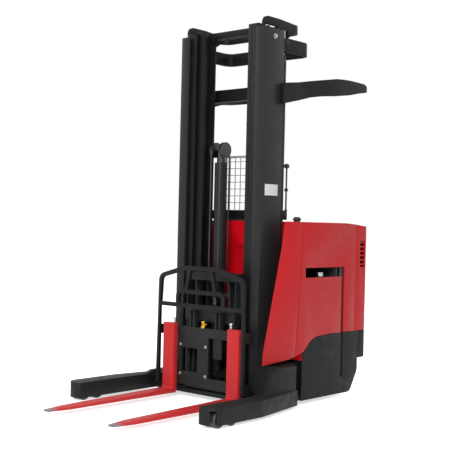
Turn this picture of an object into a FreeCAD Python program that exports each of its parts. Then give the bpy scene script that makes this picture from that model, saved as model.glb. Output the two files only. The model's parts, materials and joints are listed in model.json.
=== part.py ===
import FreeCAD, Part
import os
import re
import Sketcher

# Reach truck, millimetres.
# +X is the truck's left side, -Y the way the forks point, +Z up.
# The origin is on the floor under the middle of the truck's outline.

doc = FreeCAD.newDocument("reach_truck")
sheet = doc.addObject("Spreadsheet::Sheet", "Sizes")

# Driving dimensions: name, value, what it is.
SIZES = [
    ("heel_front", -88, "front face of the fork shanks"),
    ("fork_length", 1065, "fork tip to shank face"),
    ("fork_width", 104, "blade and shank width"),
    ("fork_centre", 301, "fork centre line from the middle"),
    ("fork_heel", 45, "shank thickness"),
    ("fork_top", 522, "top of the shanks"),
    ("blade_top", 62, "blade top at the heel"),
    ("blade_low", 30, "blade underside over the floor"),
    ("tip_thick", 12, "blade thickness at the tip"),
    ("tip_width", 50, "blade width at the tip"),
    ("tip_taper", 160, "length over which the tip narrows"),
    ("mast_front", 67, "front plane of the outer rails"),
    ("mast_depth", 220, "outer rail depth"),
    ("mast_half", 385, "outer face of the outer rails"),
    ("rail_foot", 62, "underside of the mast rails"),
    ("outer_top", 2560, "top of the outer rails"),
    ("middle_top", 2585, "top of the middle rails"),
    ("inner_top", 2600, "top of the inner rails"),
    ("outer_web", 20, "outer rail web"),
    ("outer_flange", 22, "outer rail flange"),
    ("outer_width", 73, "outer rail width"),
    ("stage_gap", 6, "air between two mast stages"),
    ("middle_flange", 18, "middle rail flange"),
    ("middle_width", 97, "middle rail width"),
    ("middle_pocket", 43, "middle rail outboard pocket"),
    ("middle_web", 16, "middle rail web"),
    ("inner_flange", 18, "inner rail flange"),
    ("inner_width", 95, "inner rail width"),
    ("inner_pocket", 42, "inner rail outboard pocket"),
    ("inner_web", 14, "inner rail web"),
    ("roller_play", 0.3, "mast roller to flange"),
    ("pin_play", 0.1, "pin or axle in its bore"),
    ("seat_gap", 0.3, "faces of two bodies that meet"),
    ("move_gap", 6, "air beside a piece that moves"),
    ("lift_radius", 36, "main lift barrel radius"),
    ("lift_rod", 25, "main lift rod radius"),
    ("lift_top", 2400, "top of the main lift barrels"),
    ("lift_head", 40, "main lift gland height"),
    ("outer_arch_low", 2420, "underside of the outer arched crossmember"),
    ("outer_arch_high", 2515, "top of the outer arched crossmember"),
    ("outer_arch_rear", 592, "rear face of the outer arched crossmember"),
    ("middle_arch_low", 2570, "underside of the middle arched crossmember"),
    ("middle_arch_high", 2628, "top of the middle arched crossmember"),
    ("middle_arch_rear", 512, "rear face of the middle arched crossmember"),
    ("arch_thick", 22, "plate of the arched crossmembers"),
    ("arch_corner", 70, "bend of the arched crossmembers"),
    ("tie_thick", 16, "plate of the straight crossmembers"),
    ("tie_high", 90, "height of the straight crossmembers"),
    ("waist_low", 1262, "underside of the outer waist crossmember"),
    ("waist_high", 1326, "top of the outer waist crossmember"),
    ("waist_thick", 18, "plate of the outer waist crossmember"),
    ("free_side", 94, "free lift cylinder axis in from the inner rail"),
    ("free_y", 208, "free lift cylinder axis"),
    ("free_radius", 45, "free lift barrel radius"),
    ("free_rod", 30, "free lift rod radius"),
    ("free_foot", 112, "underside of the free lift cylinder"),
    ("free_top", 1660, "top of the free lift barrel"),
    ("pulley_radius", 55, "chain pulley radius"),
    ("pulley_width", 26, "chain pulley width"),
    ("pulley_lift", 90, "pulley axle over the free lift barrel"),
    ("pivot_y", 115, "mast side scissor pivots"),
    ("arm_foot", 103, "lower arm rollers over the floor, reached in"),
    ("arm_half", 380, "half the arm, pivot to pivot"),
    ("arm_angle", 5, "arm from upright when reached in, degrees"),
    ("arm_thick", 18, "arm plate"),
    ("arm_end", 26, "arm end radius"),
    ("arm_side", 13, "air between the outer arms and the inner rails"),
    ("arm_space", 6, "air between an outer and an inner arm"),
    ("arm_pin", 14, "arm pin radius"),
    ("arm_roller", 20, "arm roller radius"),
    ("guide_flange", 12, "roller guide flange"),
    ("guide_web", 12, "roller guide web"),
    ("guide_low", 72, "foot of the roller guides"),
    ("side_plate_thick", 20, "mast carriage side plate"),
    ("tie_plate", 10, "mast carriage tie plate"),
    ("tie_plate_high", 80, "mast carriage tie plate height"),
    ("stub_long", 4, "arm roller stub"),
    ("arm_roller_width", 22, "arm roller width"),
    ("post_high", 260, "pivot posts over the roller guides"),
    ("guide_mouth", 27, "depth of a roller guide past its web"),
    ("guide_side", 5, "air between an arm and its guide"),
    ("bar_thick", 32, "fork bar thickness"),
    ("bar_high", 64, "fork bar height"),
    ("low_bar", 96, "underside of the low fork bar"),
    ("high_bar", 438, "underside of the high fork bar"),
    ("tilt_height", 600, "fork frame tilt pin height"),
    ("tilt_pin", 12, "fork frame tilt pin radius"),
    ("rest_half", 410, "half the load backrest"),
    ("rest_bar", 28, "backrest bar width"),
    ("rest_front", -98, "front of the load backrest"),
    ("rest_depth", 22, "backrest bar depth"),
    ("cross_thick", 8, "reach carriage cross plates"),
    ("rest_corner", 862, "backrest corner height"),
    ("rest_top", 933, "backrest arch top"),
    ("rest_rail", 640, "backrest lower rail"),
    ("rest_inner_half", 226, "half the backrest inner arch"),
    ("rest_inner_top", 765, "backrest inner arch height"),
    ("ram_radius", 30, "reach barrel radius"),
    ("ram_rod", 16, "reach rod radius"),
    ("ram_foot_y", 108, "reach barrel foot pin"),
    ("ram_foot_z", 170, "reach barrel foot pin height"),
    ("ram_lug", 250, "reach rod pin up the inner arm from its middle"),
    ("leg_step", 5, "legs outboard of the body"),
    ("leg_width", 145, "leg width"),
    ("leg_nose", -688, "front of the legs"),
    ("leg_low", 22, "underside of the legs"),
    ("leg_high", 125, "top of the legs"),
    ("leg_plate", 14, "leg side plate"),
    ("leg_bend", -230, "where the legs start to narrow"),
    ("leg_rear", 242, "rear end of the legs"),
    ("leg_root_width", 55, "leg width at its root"),
    ("root_high", 285, "top of the leg root"),
    ("load_radius", 51, "load wheel radius"),
    ("load_width", 100, "load wheel width"),
    ("load_axle", 13, "load wheel axle radius"),
    ("load_pitch", 118, "load wheel spacing"),
    ("load_first", -612, "front load axle"),
    ("body_half", 540, "outer face of the body"),
    ("skin", 12, "body panel thickness"),
    ("body_top", 1250, "top of the body"),
    ("body_low", 300, "lower edge of the side cover"),
    ("nose_y", -20, "front foot of the side cover"),
    ("knee_y", 157, "front of the side cover at its knee"),
    ("knee_z", 1060, "side cover knee height"),
    ("brow_y", 191, "front of the side cover at the top"),
    ("cover_rear", 980, "rear edge of the side cover"),
    ("body_rear", 1153, "rear face of the body"),
    ("body_rear_top", 1226, "top of the body at its rear"),
    ("corner_round", 38, "inside bend of the body's rear corners"),
    ("cover_foot_round", 200, "bend of the cover's lower edge"),
    ("heel_round_high", 90, "upper bend of the skirt's heel"),
    ("heel_round_low", 60, "lower bend of the skirt's heel"),
    ("cover_lip", 40, "front lip of the side cover"),
    ("nose_in", 32, "side cover's front corner in from the body side, at its foot"),
    ("nose_slope", 0.105, "how fast the side cover's front stretch turns in"),
    ("seam_low_y", 279, "foot of the seam behind the side cover's front stretch"),
    ("seam_high_y", 336, "top of that seam"),
    ("seam_width", 5, "width of that seam"),
    ("seam_deep", 3, "depth of that seam"),
    ("bevel_high_y", 307, "rear end of the side cover's front bevel at its top"),
    ("cover_high_rear", 1243, "top of the side cover at its rear"),
    ("cover_fall", 860, "where the top of the side cover starts to fall"),
    ("skirt_front", 360, "front of the skirt"),
    ("skirt_low", 28, "underside of the skirt"),
    ("skirt_high", 468, "top of the skirt"),
    ("skirt_rear", 1036, "rear of the skirt"),
    ("arch_start", 377, "start of the skirt arch"),
    ("arch_start_z", 355, "height of the start of the skirt arch"),
    ("arch_knee", 483, "steep end of the skirt arch"),
    ("arch_knee_z", 447, "height of the steep end of the skirt arch"),
    ("arch_end", 684, "rear end of the skirt arch"),
    ("arch_bend", 170, "radius of the skirt arch"),
    ("arch_gap", 8, "shadow gap between the arch and the cover"),
    ("cover_foot_y", 226, "where the cover's lower edge starts to rise"),
    ("cover_foot_z", 324, "height of the cover's lower edge there"),
    ("skirt_heel_y", 945, "rear end of the skirt's underside"),
    ("skirt_heel_z", 175, "foot of the skirt's rear edge"),
    ("slot_front", 381, "front of the hand slot"),
    ("slot_rear", 813, "rear of the hand slot"),
    ("slot_low", 868, "underside of the hand slot"),
    ("slot_high", 936, "top of the hand slot"),
    ("slit_rear", 846, "rear of the upright slit"),
    ("slit_low", 150, "foot of the upright slit"),
    ("battery_front", 392, "front of the battery"),
    ("battery_rear", 742, "rear of the battery"),
    ("battery_side", 50, "battery in from the body side"),
    ("battery_low", 74, "underside of the battery"),
    ("battery_high", 850, "top of the battery"),
    ("wall_y", 372, "front wall of the battery space"),
    ("room_front", 760, "front wall of the operator's room"),
    ("pod_width", 140, "pod at the operator's left"),
    ("drive_side", 190, "drive wheel's middle to the operator's room"),
    ("floor_top", 265, "operator's floor"),
    ("floor_thick", 20, "operator's floor plate"),
    ("cover_top", 1010, "top of the drive cover"),
    ("bumper_low", 265, "underside of the rear bumper"),
    ("bumper_thick", 60, "rear bumper thickness"),
    ("vent_front", 1041, "front of the rear vent"),
    ("vent_rear", 1120, "rear of the rear vent"),
    ("vent_low", 931, "underside of the rear vent"),
    ("vent_high", 1123, "top of the rear vent"),
    ("drive_in", 240, "drive wheel's middle in from the body side"),
    ("drive_y", 940, "drive wheel axle"),
    ("drive_radius", 165, "drive wheel radius"),
    ("drive_width", 140, "drive wheel width"),
    ("drive_hub", 55, "drive wheel hub radius"),
    ("deck_low", 385, "underside of the drive deck"),
    ("deck_thick", 15, "drive deck plate"),
    ("motor_radius", 105, "drive motor radius"),
    ("motor_high", 780, "top of the drive motor"),
    ("caster_in", 240, "caster's middle in from the body side"),
    ("caster_y", 940, "caster swivel axis"),
    ("caster_trail", 30, "caster axle behind its swivel axis"),
    ("caster_radius", 75, "caster wheel radius"),
    ("caster_width", 55, "one caster wheel width"),
    ("caster_fork", 20, "caster middle plate"),
    ("caster_axle", 12, "caster axle radius"),
    ("guard_in", 30, "overhead guard in from the body side"),
    ("guard_thick", 40, "guard side bar thickness"),
    ("guard_rear", 1142, "rear of the overhead guard"),
    ("guard_top", 2287, "top of the overhead guard"),
    ("guard_bar", 18, "guard crossbar thickness"),
    ("guard_bar_high", 50, "guard crossbar height"),
    ("front_bar_thick", 30, "front guard beam thickness"),
    ("front_bar_foot", 167, "underside of the front guard beam under the guard's top"),
    ("front_bar_fall", 77, "top of the front guard beam under the guard's top"),
    ("tail_thick", 30, "rear guard beam thickness"),
    ("mesh_low", 1330, "foot of the wire screen"),
    ("mesh_high", 1725, "top of the wire screen"),
    ("mesh_half", 250, "half the wire screen"),
    ("mesh_wire", 5, "screen wire"),
    ("mesh_pitch", 50, "screen wire spacing"),
    ("mesh_frame", 16, "screen frame bar"),
    ("boss_radius", 48, "round boss on the front wall"),
    ("boss_deep", 14, "how far the boss stands out"),
    ("boss_x", -36, "round boss from the middle"),
    ("boss_z", 1112, "round boss height"),
    ("lamp_x", 40, "work lamp from the middle"),
    ("lamp_low", 1945, "underside of the work lamp"),
    ("lamp_high", 2075, "top of the work lamp's shade"),
    ("lamp_mouth", 55, "half the work lamp's mouth"),
    ("lamp_mouth_deep", 90, "depth of the work lamp's mouth"),
    ("lamp_neck", 28, "half the work lamp's neck"),
    ("lamp_neck_deep", 50, "depth of the work lamp's neck"),
    ("chain_thick", 8, "lift chain thickness"),
    ("head_high", 2640, "top of the rounded head of the middle stage"),
    ("head_round", 46, "round front corner of that head"),
    ("gusset_long", 80, "gusset under the middle arch, along the truck"),
    ("gusset_low", 2522, "foot of that gusset"),
    ("slat_pitch", 32, "spacing of the vent's slats"),
    ("slat_high", 10, "height of a vent slat"),
    ("right_front", 256, "front of the right side cover"),
    ("right_foot_z", 332, "height of its lower front corner"),
    ("right_root_high", 150, "top of the right leg's root"),
    ("leg_round_in", 40, "inner corner of the leg's nose"),
    ("leg_round_out", 90, "outer corner of the leg's nose"),
    ("leg_round_bend", 200, "bend where the legs start to narrow"),
    ("root_start", -60, "front of the leg root"),
    ("root_rise", 20, "top front of the leg root"),
    ("root_bend", 60, "bend at the top of the leg root"),
    ("root_thick", 40, "thickness of the leg root"),
    ("cheek_front", 60, "front of the chassis cheeks"),
    ("cheek_drop", 14, "chassis cheeks under the side covers"),
    ("web_side", 50, "chassis webs in from the body side"),
    ("plate_start", -235, "right edge of the fork frame's plate"),
    ("plate_end", 40, "left edge of that plate"),
    ("window_start", -215, "right edge of the plate's window"),
    ("window_end", -60, "left edge of the plate's window"),
    ("window_low", 190, "foot of the plate's window"),
    ("window_high", 356, "top of the plate's window"),
    ("strip_start", 75, "right edge of the fork frame's strip"),
    ("strip_end", 150, "left edge of that strip"),
    ("strip_low", 300, "foot of that strip"),
]

# Places that follow from the sizes, worked out in the sheet.
FOLLOWING = [
    ("pivot_top", "arm_foot + 2 * arm_half * cos(arm_angle * 1deg)", "top scissor pivots"),
    ("guide_high", "pivot_top - post_high", "top of the roller guides"),
    ("inner_in", "mast_half - outer_web - middle_pocket - middle_web - inner_width - 2 * stage_gap",
     "inboard face of the inner rails"),
    ("free_x", "free_side - inner_in", "free lift cylinder from the middle"),
    ("arm_outer_x", "inner_in - arm_side - arm_thick", "inboard face of the outer arms"),
    ("arm_inner_x", "arm_outer_x - arm_space - arm_thick", "inboard face of the inner arms"),
    ("leg_inner", "body_half + leg_step", "inner face of the legs"),
    ("cheek_x", "body_half - cover_lip", "inner edge of the side cover fronts"),
    ("battery_half", "body_half - battery_side", "half the battery"),
    ("drive_x", "drive_in - body_half", "drive wheel from the middle"),
    ("caster_x", "body_half - caster_in", "caster from the middle"),
    ("room_left", "body_half - pod_width", "left wall of the operator's room"),
    ("room_right", "drive_x + drive_side", "right wall of the operator's room"),
    ("guard_half", "body_half - guard_in", "half the overhead guard"),
    ("inside_side", "body_half - skin - seat_gap", "inside of the body's side walls"),
    ("inside_rear", "body_rear - skin - seat_gap", "inside of the body's rear wall"),
    ("room_start", "room_front + skin + seat_gap", "rear face of the room's front wall"),
]

NAMES = set()
for line, (alias, value, meaning) in enumerate(SIZES + FOLLOWING, start=1):
    NAMES.add(alias)
    sheet.set("A%d" % line, meaning)
    sheet.set("B%d" % line, "=" + value if isinstance(value, str) else str(value))
    sheet.setAlias("B%d" % line, alias)
doc.recompute()

WORD = re.compile(r"[A-Za-z_][A-Za-z_0-9]*")


def bound(text):
    """The expression with each size named as a cell of the sheet."""
    return WORD.sub(lambda found: "Sizes." + found[0] if found[0] in NAMES else found[0], str(text))


def measure(text):
    """The number that an expression in sizes stands for."""
    return float(sheet.evalExpression(bound(text)))


def tie(thing, **links):
    """Binds properties to expressions; a name with two underscores is a path."""
    for name, text in links.items():
        thing.setExpression(name.replace("__", "."), bound(text))
    return thing


def span(low, high):
    return "(%s) - (%s)" % (high, low)


def block(name, x, y, z):
    """A box between low and high on each axis."""
    box = doc.addObject("Part::Box", name)
    tie(box, Length=span(*x), Width=span(*y), Height=span(*z))
    return tie(box, Placement__Base__x=x[0], Placement__Base__y=y[0], Placement__Base__z=z[0])


TURNS = {"X": ((0, 1, 0), 90), "Y": ((1, 0, 0), -90), "Z": ((0, 0, 1), 0)}


def shaft(name, axis, centre, ends, radius):
    """A cylinder along an axis; centre gives the other two places in order."""
    pin = doc.addObject("Part::Cylinder", name)
    turn, angle = TURNS[axis]
    pin.Placement = FreeCAD.Placement(FreeCAD.Vector(), FreeCAD.Rotation(FreeCAD.Vector(*turn), angle))
    tie(pin, Radius=radius, Height=span(*ends))
    places = dict(zip([letter for letter in "XYZ" if letter != axis], centre))
    places[axis] = ends[0]
    for letter, text in places.items():
        pin.setExpression("Placement.Base." + letter.lower(), bound(text))
    return pin


def plane(body, role):
    return [feature for feature in body.Origin.OriginFeatures if feature.Role == role + "_Plane"][0]


def add_sketch(body, role, offset, outlines):
    """A sketch of closed outlines; every corner is bound to the sheet."""
    sketch = body.newObject("Sketcher::SketchObject", "Sketch")
    sketch.AttachmentSupport = [(plane(body, role), "")]
    sketch.MapMode = "FlatFace"
    sketch.setExpression("AttachmentOffset.Base.z", bound(offset))
    for outline in outlines:
        corners = [FreeCAD.Vector(measure(corner[0]), measure(corner[1]), 0) for corner in outline]
        first = sketch.GeometryCount
        count = len(corners)
        for index in range(count):
            edge = Part.LineSegment(corners[index], corners[(index + 1) % count])
            sketch.addGeometry(edge, False)
        for index in range(count):
            follower = first + (index + 1) % count
            sketch.addConstraint(Sketcher.Constraint("Coincident", first + index, 2, follower, 1))
        for index, corner in enumerate(outline):
            across = Sketcher.Constraint("DistanceX", -1, 1, first + index, 1, corners[index].x)
            sketch.setExpression("Constraints[%d]" % sketch.addConstraint(across), bound(corner[0]))
            upward = Sketcher.Constraint("DistanceY", -1, 1, first + index, 1, corners[index].y)
            sketch.setExpression("Constraints[%d]" % sketch.addConstraint(upward), bound(corner[1]))
    return sketch


NORMALS = {"XY": (2, 1), "XZ": (1, -1), "YZ": (0, 1)}


def prism(name, role, outline, ends, holes=()):
    """A pad of one outline between two ends; a corner's third value is its radius."""
    body = doc.addObject("PartDesign::Body", name)
    number, sign = NORMALS[role]
    low, high = ends
    offset = low if sign > 0 else "-(%s)" % high
    pad = body.newObject("PartDesign::Pad", name + "_pad")
    pad.Profile = add_sketch(body, role, offset, [outline] + list(holes))
    tie(pad, Length=span(low, high))
    body.Tip = pad
    rounds = {}
    for corner in [corner for ring in [outline] + list(holes) for corner in ring]:
        if len(corner) > 2:
            rounds.setdefault(corner[2], []).append((measure(corner[0]), measure(corner[1])))
    for radius, corners in sorted(rounds.items(), key=lambda item: measure(item[0])):
        doc.recompute()
        sharp = body.Tip
        fillet = body.newObject("PartDesign::Fillet", name + "_round")
        fillet.Base = (sharp, standing_edges(sharp.Shape, number, corners))
        tie(fillet, Radius=radius)
        body.Tip = fillet
    return body


def standing_edges(shape, number, corners):
    """Names of the edges along an axis that stand on the given corners."""
    kept = [axis for axis in range(3) if axis != number]
    names = []
    for index, edge in enumerate(shape.Edges, start=1):
        ends = [vertex.Point for vertex in edge.Vertexes]
        if len(ends) < 2:
            continue
        places = [(round(end[kept[0]], 3), round(end[kept[1]], 3)) for end in ends]
        if places[0] != places[1]:
            continue
        if any(abs(places[0][0] - u) < 0.01 and abs(places[0][1] - v) < 0.01 for u, v in corners):
            names.append("Edge%d" % index)
    return names


def loft(name, role, sections):
    """A ruled loft through outlines, each at its own offset along the plane's normal."""
    body = doc.addObject("PartDesign::Body", name)
    sketches = [add_sketch(body, role, offset, [outline]) for offset, outline in sections]
    solid = body.newObject("PartDesign::AdditiveLoft", name + "_loft")
    solid.Profile = sketches[0]
    solid.Sections = sketches[1:]
    solid.Ruled = True
    body.Tip = solid
    return body


def turned(name, outline, axis, x="0", y="0", z="0"):
    """A solid of revolution: outline is along and out from the X or the Z axis."""
    body = doc.addObject("PartDesign::Body", name)
    flat = outline if axis == "X" else [(out, along) for along, out in outline]
    sketch = add_sketch(body, "XZ", "0", [flat])
    solid = body.newObject("PartDesign::Revolution", name + "_turned")
    solid.Profile = sketch
    solid.ReferenceAxis = (sketch, ["H_Axis" if axis == "X" else "V_Axis"])
    solid.Angle = 360
    body.Tip = solid
    return tie(body, Placement__Base__x=x, Placement__Base__y=y, Placement__Base__z=z)


def joined(name, pieces):
    fusion = doc.addObject("Part::MultiFuse", name)
    fusion.Shapes = pieces
    return fusion


def less(name, base, tools):
    cut = doc.addObject("Part::Cut", name)
    cut.Base = base
    cut.Tool = tools[0] if len(tools) == 1 else joined(name + "_tools", tools)
    return cut


def mirrored(name, source):
    twin = doc.addObject("Part::Mirroring", name)
    twin.Source = source
    twin.Normal = (1, 0, 0)
    return twin


NODES = []


def node(label, thing):
    thing.Label = label
    NODES.append(thing)
    return thing


def both_sides(name, piece):
    """The piece on the left with its twin on the right."""
    return [piece, mirrored(name, piece)]


# Places worked out from the sizes.
mast_rear = "(mast_front + mast_depth)"
outer_in = "(mast_half - outer_width)"
middle_out = "(mast_half - outer_web - stage_gap)"
middle_in = "(%s - middle_width)" % middle_out
middle_front = "(mast_front + outer_flange + stage_gap)"
middle_rear = "(%s - outer_flange - stage_gap)" % mast_rear
middle_web_out = "(%s - middle_pocket)" % middle_out
inner_out = "(%s - middle_web - stage_gap)" % middle_web_out
inner_front = "(%s + middle_flange + stage_gap)" % middle_front
inner_rear = "(%s - middle_flange - stage_gap)" % middle_rear
inner_web_out = "(%s - inner_pocket)" % inner_out
inner_web_in = "(%s - inner_web)" % inner_web_out
heel_rear = "(heel_front + fork_heel)"
bar_rear = "(%s + bar_thick)" % heel_rear
lift_x = "(mast_half - outer_width / 2 - 18)"
lift_y = "(%s + lift_radius + seat_gap)" % mast_rear
lift_rear = "(%s + 2 * lift_radius + seat_gap)" % mast_rear
inside_foot = "(rail_foot + stage_gap)"


def channel(web_out, web, tip, front, rear, flange):
    """A channel rail's outline, its web outboard and its flanges inboard."""
    web_in = "(%s - %s)" % (web_out, web)
    inside = "(%s + %s)" % (front, flange)
    outside = "(%s - %s)" % (rear, flange)
    return [(tip, front), (web_out, front), (web_out, rear), (tip, rear),
            (tip, outside), (web_in, outside), (web_in, inside), (tip, inside)]


def beam(out, inn, web_out, web, front, rear, flange):
    """An I beam rail's outline with a pocket on each side of its web."""
    web_in = "(%s - %s)" % (web_out, web)
    inside = "(%s + %s)" % (front, flange)
    outside = "(%s - %s)" % (rear, flange)
    return [(inn, front), (out, front), (out, inside), (web_out, inside), (web_out, outside),
            (out, outside), (out, rear), (inn, rear), (inn, outside), (web_in, outside),
            (web_in, inside), (inn, inside)]


def rails(stage, outline, foot, top, extras=()):
    """The stage's left and right rail as two nodes."""
    rail = prism(stage + "_section", "XY", outline, (foot, top))
    left = joined(stage + "_rail", [rail] + list(extras)) if extras else rail
    node(stage + "_rail_left", left)
    node(stage + "_rail_right", mirrored(stage + "_rail_twin", left))


# Mast rollers run in the next rail's pocket: name, web face, end, front, rear, height.
def roller(name, web, end, front, rear, height):
    middle = "((%s + %s) / 2)" % (front, rear)
    radius = "((%s) - (%s)) / 2 - roller_play" % (rear, front)
    wheel = shaft(name, "X", (middle, height), ("%s + roller_play" % web, end), radius)
    return wheel


outer_roller = roller(
    "outer_roller", middle_web_out, "mast_half - outer_web", "%s + middle_flange" % middle_front,
    "%s - middle_flange" % middle_rear, "outer_top - 160")
rails("outer", channel("mast_half", "outer_web", outer_in, "mast_front", mast_rear, "outer_flange"),
      "rail_foot", "outer_top", [outer_roller])
middle_roller = roller(
    "middle_roller", inner_web_out, middle_web_out + " - middle_web", "%s + inner_flange" % inner_front,
    "%s - inner_flange" % inner_rear, "middle_top - 160")
rails("middle", beam(middle_out, middle_in, middle_web_out, "middle_web", middle_front, middle_rear,
                     "middle_flange"), inside_foot, "middle_top", [middle_roller])
rails("inner", beam(inner_out, "inner_in", inner_web_out, "inner_web", inner_front, inner_rear,
                    "inner_flange"), inside_foot, "inner_top")


def arched(name, half, front, rear, low, high, thick="arch_thick", corner="arch_corner"):
    """A crossmember bowed to the rear: two side plates and a beam in one bent plate."""
    inside = "(%s - %s)" % (half, thick)
    back = "(%s - %s)" % (rear, thick)
    inner_bend = "(%s - %s)" % (corner, thick)
    outline = [("-(%s)" % half, front), ("-(%s)" % half, rear, corner), (half, rear, corner), (half, front),
               (inside, front), (inside, back, inner_bend), ("-" + inside, back, inner_bend),
               ("-" + inside, front)]
    return prism(name, "XY", outline, (low, high))


# Outer stage: a bowed crossmember at the top and one round the lift barrels at the waist.
outer_arch = arched("outer_arch", "mast_half", mast_rear, "outer_arch_rear", "outer_arch_low",
                    "outer_arch_high")
outer_waist = arched("outer_waist", "mast_half", mast_rear, lift_rear + " + move_gap + waist_thick",
                     "waist_low", "waist_high", "waist_thick", "40")
node("outer_crossmembers", joined("outer_ties", [outer_arch, outer_waist]))

# Middle stage: its bowed crossmember passes over the outer stage and carries the rod tops.
middle_arch = arched("middle_arch", middle_out, middle_rear, "middle_arch_rear",
                     "middle_arch_low", "middle_arch_high")
middle_shelf = block("middle_shelf", ("-(%s)" % middle_out, middle_out),
                     (middle_rear, lift_y + " + lift_rod"),
                     ("middle_arch_low", "middle_arch_low + tie_thick"))
middle_foot = block("middle_foot", ("2 * move_gap - %s" % outer_in, "%s - 2 * move_gap" % outer_in),
                    (middle_rear, "%s + tie_thick" % middle_rear), (inside_foot, "rail_foot + tie_high"))
middle_cheek = prism("middle_cheek", "YZ", [
    (middle_front, "middle_top + seat_gap"), (middle_front, "head_high", "head_round"),
    (middle_rear, "head_high"), ("middle_arch_rear - arch_corner", "middle_arch_high"),
    ("middle_arch_rear - arch_corner", "middle_arch_low"), (lift_rear + " + gusset_long", "middle_arch_low"),
    (lift_rear, "gusset_low"), (lift_rear, "middle_arch_low"), (middle_rear, "middle_arch_low"),
    (middle_rear, "middle_top + seat_gap")],
    ("%s - arch_thick" % middle_out, middle_out))
node("middle_crossmembers", joined("middle_ties", [middle_arch, middle_shelf, middle_foot]
                                   + both_sides("middle_cheek_twin", middle_cheek)))

# Inner stage: a top tie between the rails and a foot that carries the free lift barrel.
inner_head = block("inner_head", ("-inner_in", "inner_in"),
                   ("%s - tie_thick" % inner_rear, inner_rear),
                   ("inner_top - 45", "inner_top"))
inner_foot = block("inner_foot", ("-inner_in", "inner_in"),
                   ("free_y - free_radius", inner_rear), (inside_foot, "free_foot"))
node("inner_crossmembers", joined("inner_ties", [inner_head, inner_foot]))

# Main lift cylinders behind the outer rails.
lift_barrel = shaft("lift_barrel", "Z", (lift_x, lift_y), ("rail_foot", "lift_top - lift_head"),
                    "lift_radius")
lift_gland = shaft("lift_gland", "Z", (lift_x, lift_y), ("lift_top - lift_head", "lift_top"),
                   "lift_radius - 4")
lift_bore = shaft("lift_bore", "Z", (lift_x, lift_y), ("rail_foot + lift_head", "lift_top"),
                  "lift_rod + pin_play")
lift_tube = less("lift_tube", joined("lift_shell", [lift_barrel, lift_gland]), [lift_bore])
node("lift_barrels", joined("lift_tubes", both_sides("lift_tube_twin", lift_tube)))
lift_stem = shaft("lift_stem", "Z", (lift_x, lift_y),
                  ("rail_foot + lift_head + stage_gap", "middle_arch_low"), "lift_rod")
node("lift_rods", joined("lift_stems", both_sides("lift_stem_twin", lift_stem)))

# Free lift cylinder: the barrel stands on the inner stage, the rod carries the crosshead.
free_shell = shaft("free_shell", "Z", ("free_x", "free_y"), ("free_foot", "free_top"), "free_radius")
free_bore = shaft("free_bore", "Z", ("free_x", "free_y"), ("free_foot + 40", "free_top"),
                  "free_rod + pin_play")
node("free_lift_barrel", less("free_tube", free_shell, [free_bore]))
pulley_z = "(free_top + pulley_lift)"
free_stem = shaft("free_stem", "Z", ("free_x", "free_y"), ("free_foot + 40 + stage_gap", pulley_z),
                  "free_rod")
pulleys = []
for side, place in (("left", "free_x + free_rod"), ("right", "free_x - free_rod - pulley_width")):
    pulleys.append(turned("pulley_" + side, [
        ("0", "0"), ("pulley_width", "0"), ("pulley_width", "pulley_radius"),
        ("pulley_width - 4", "pulley_radius"), ("pulley_width - 7", "pulley_radius - chain_thick"),
        ("7", "pulley_radius - chain_thick"), ("4", "pulley_radius"), ("0", "pulley_radius")],
        "X", place, "free_y - 10", pulley_z))
node("crosshead", joined("crosshead_parts", [free_stem] + pulleys))

# Scissor pivots. Left and right arms share a body; the arm angle is in degrees.
lean = "sin(arm_angle * 1deg)"
rise = "cos(arm_angle * 1deg)"
fork_pivot_y = "(pivot_y - 2 * arm_half * %s)" % lean
roller_low = "(pivot_top - 2 * arm_half * %s)" % rise
cross_y = "(pivot_y - arm_half * %s)" % lean
cross_z = "(pivot_top - arm_half * %s)" % rise


def arm(name, inboard, top_y, sense):
    """A flat arm with round ends that leans from its top pivot."""
    outline = [("-arm_end", "-arm_half - arm_end", "arm_end - 0.5"),
               ("arm_end", "-arm_half - arm_end", "arm_end - 0.5"),
               ("arm_end", "arm_half + arm_end", "arm_end - 0.5"),
               ("-arm_end", "arm_half + arm_end", "arm_end - 0.5")]
    body = prism(name, "YZ", outline, (inboard, inboard + " + arm_thick"))
    body.Placement = FreeCAD.Placement(FreeCAD.Vector(), FreeCAD.Rotation(FreeCAD.Vector(1, 0, 0), 0))
    tie(body, Placement__Rotation__Angle="%d * arm_angle" % sense)
    return tie(body, Placement__Base__y=cross_y, Placement__Base__z=cross_z)


# Outer arms: pinned at the top to the mast carriage, rollers at the foot in the fork side guides.
outer_arm_out = "(arm_outer_x + arm_thick)"
inner_arm_out = "(arm_inner_x + arm_thick)"
outer_arm_plate = arm("outer_arm_plate", "arm_outer_x", "pivot_y", -1)
outer_arm_holes = [
    shaft("outer_arm_top_hole", "X", ("pivot_y", "pivot_top"), ("arm_outer_x - 1", outer_arm_out + " + 1"),
          "arm_pin + pin_play"),
    shaft("outer_arm_mid_hole", "X", (cross_y, cross_z), ("arm_outer_x - 1", outer_arm_out + " + 1"),
          "arm_pin + pin_play")]
outer_arm = joined("outer_arm", [
    less("outer_arm_drilled", outer_arm_plate, outer_arm_holes),
    shaft("outer_arm_stub", "X", (fork_pivot_y, roller_low), (outer_arm_out, outer_arm_out + " + stub_long"), "arm_pin"),
    shaft("outer_arm_roller", "X", (fork_pivot_y, roller_low),
          (outer_arm_out + " + stub_long", outer_arm_out + " + stub_long + arm_roller_width"), "arm_roller")])
node("outer_arms", joined("outer_arm_pair", both_sides("outer_arm_twin", outer_arm)))

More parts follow.
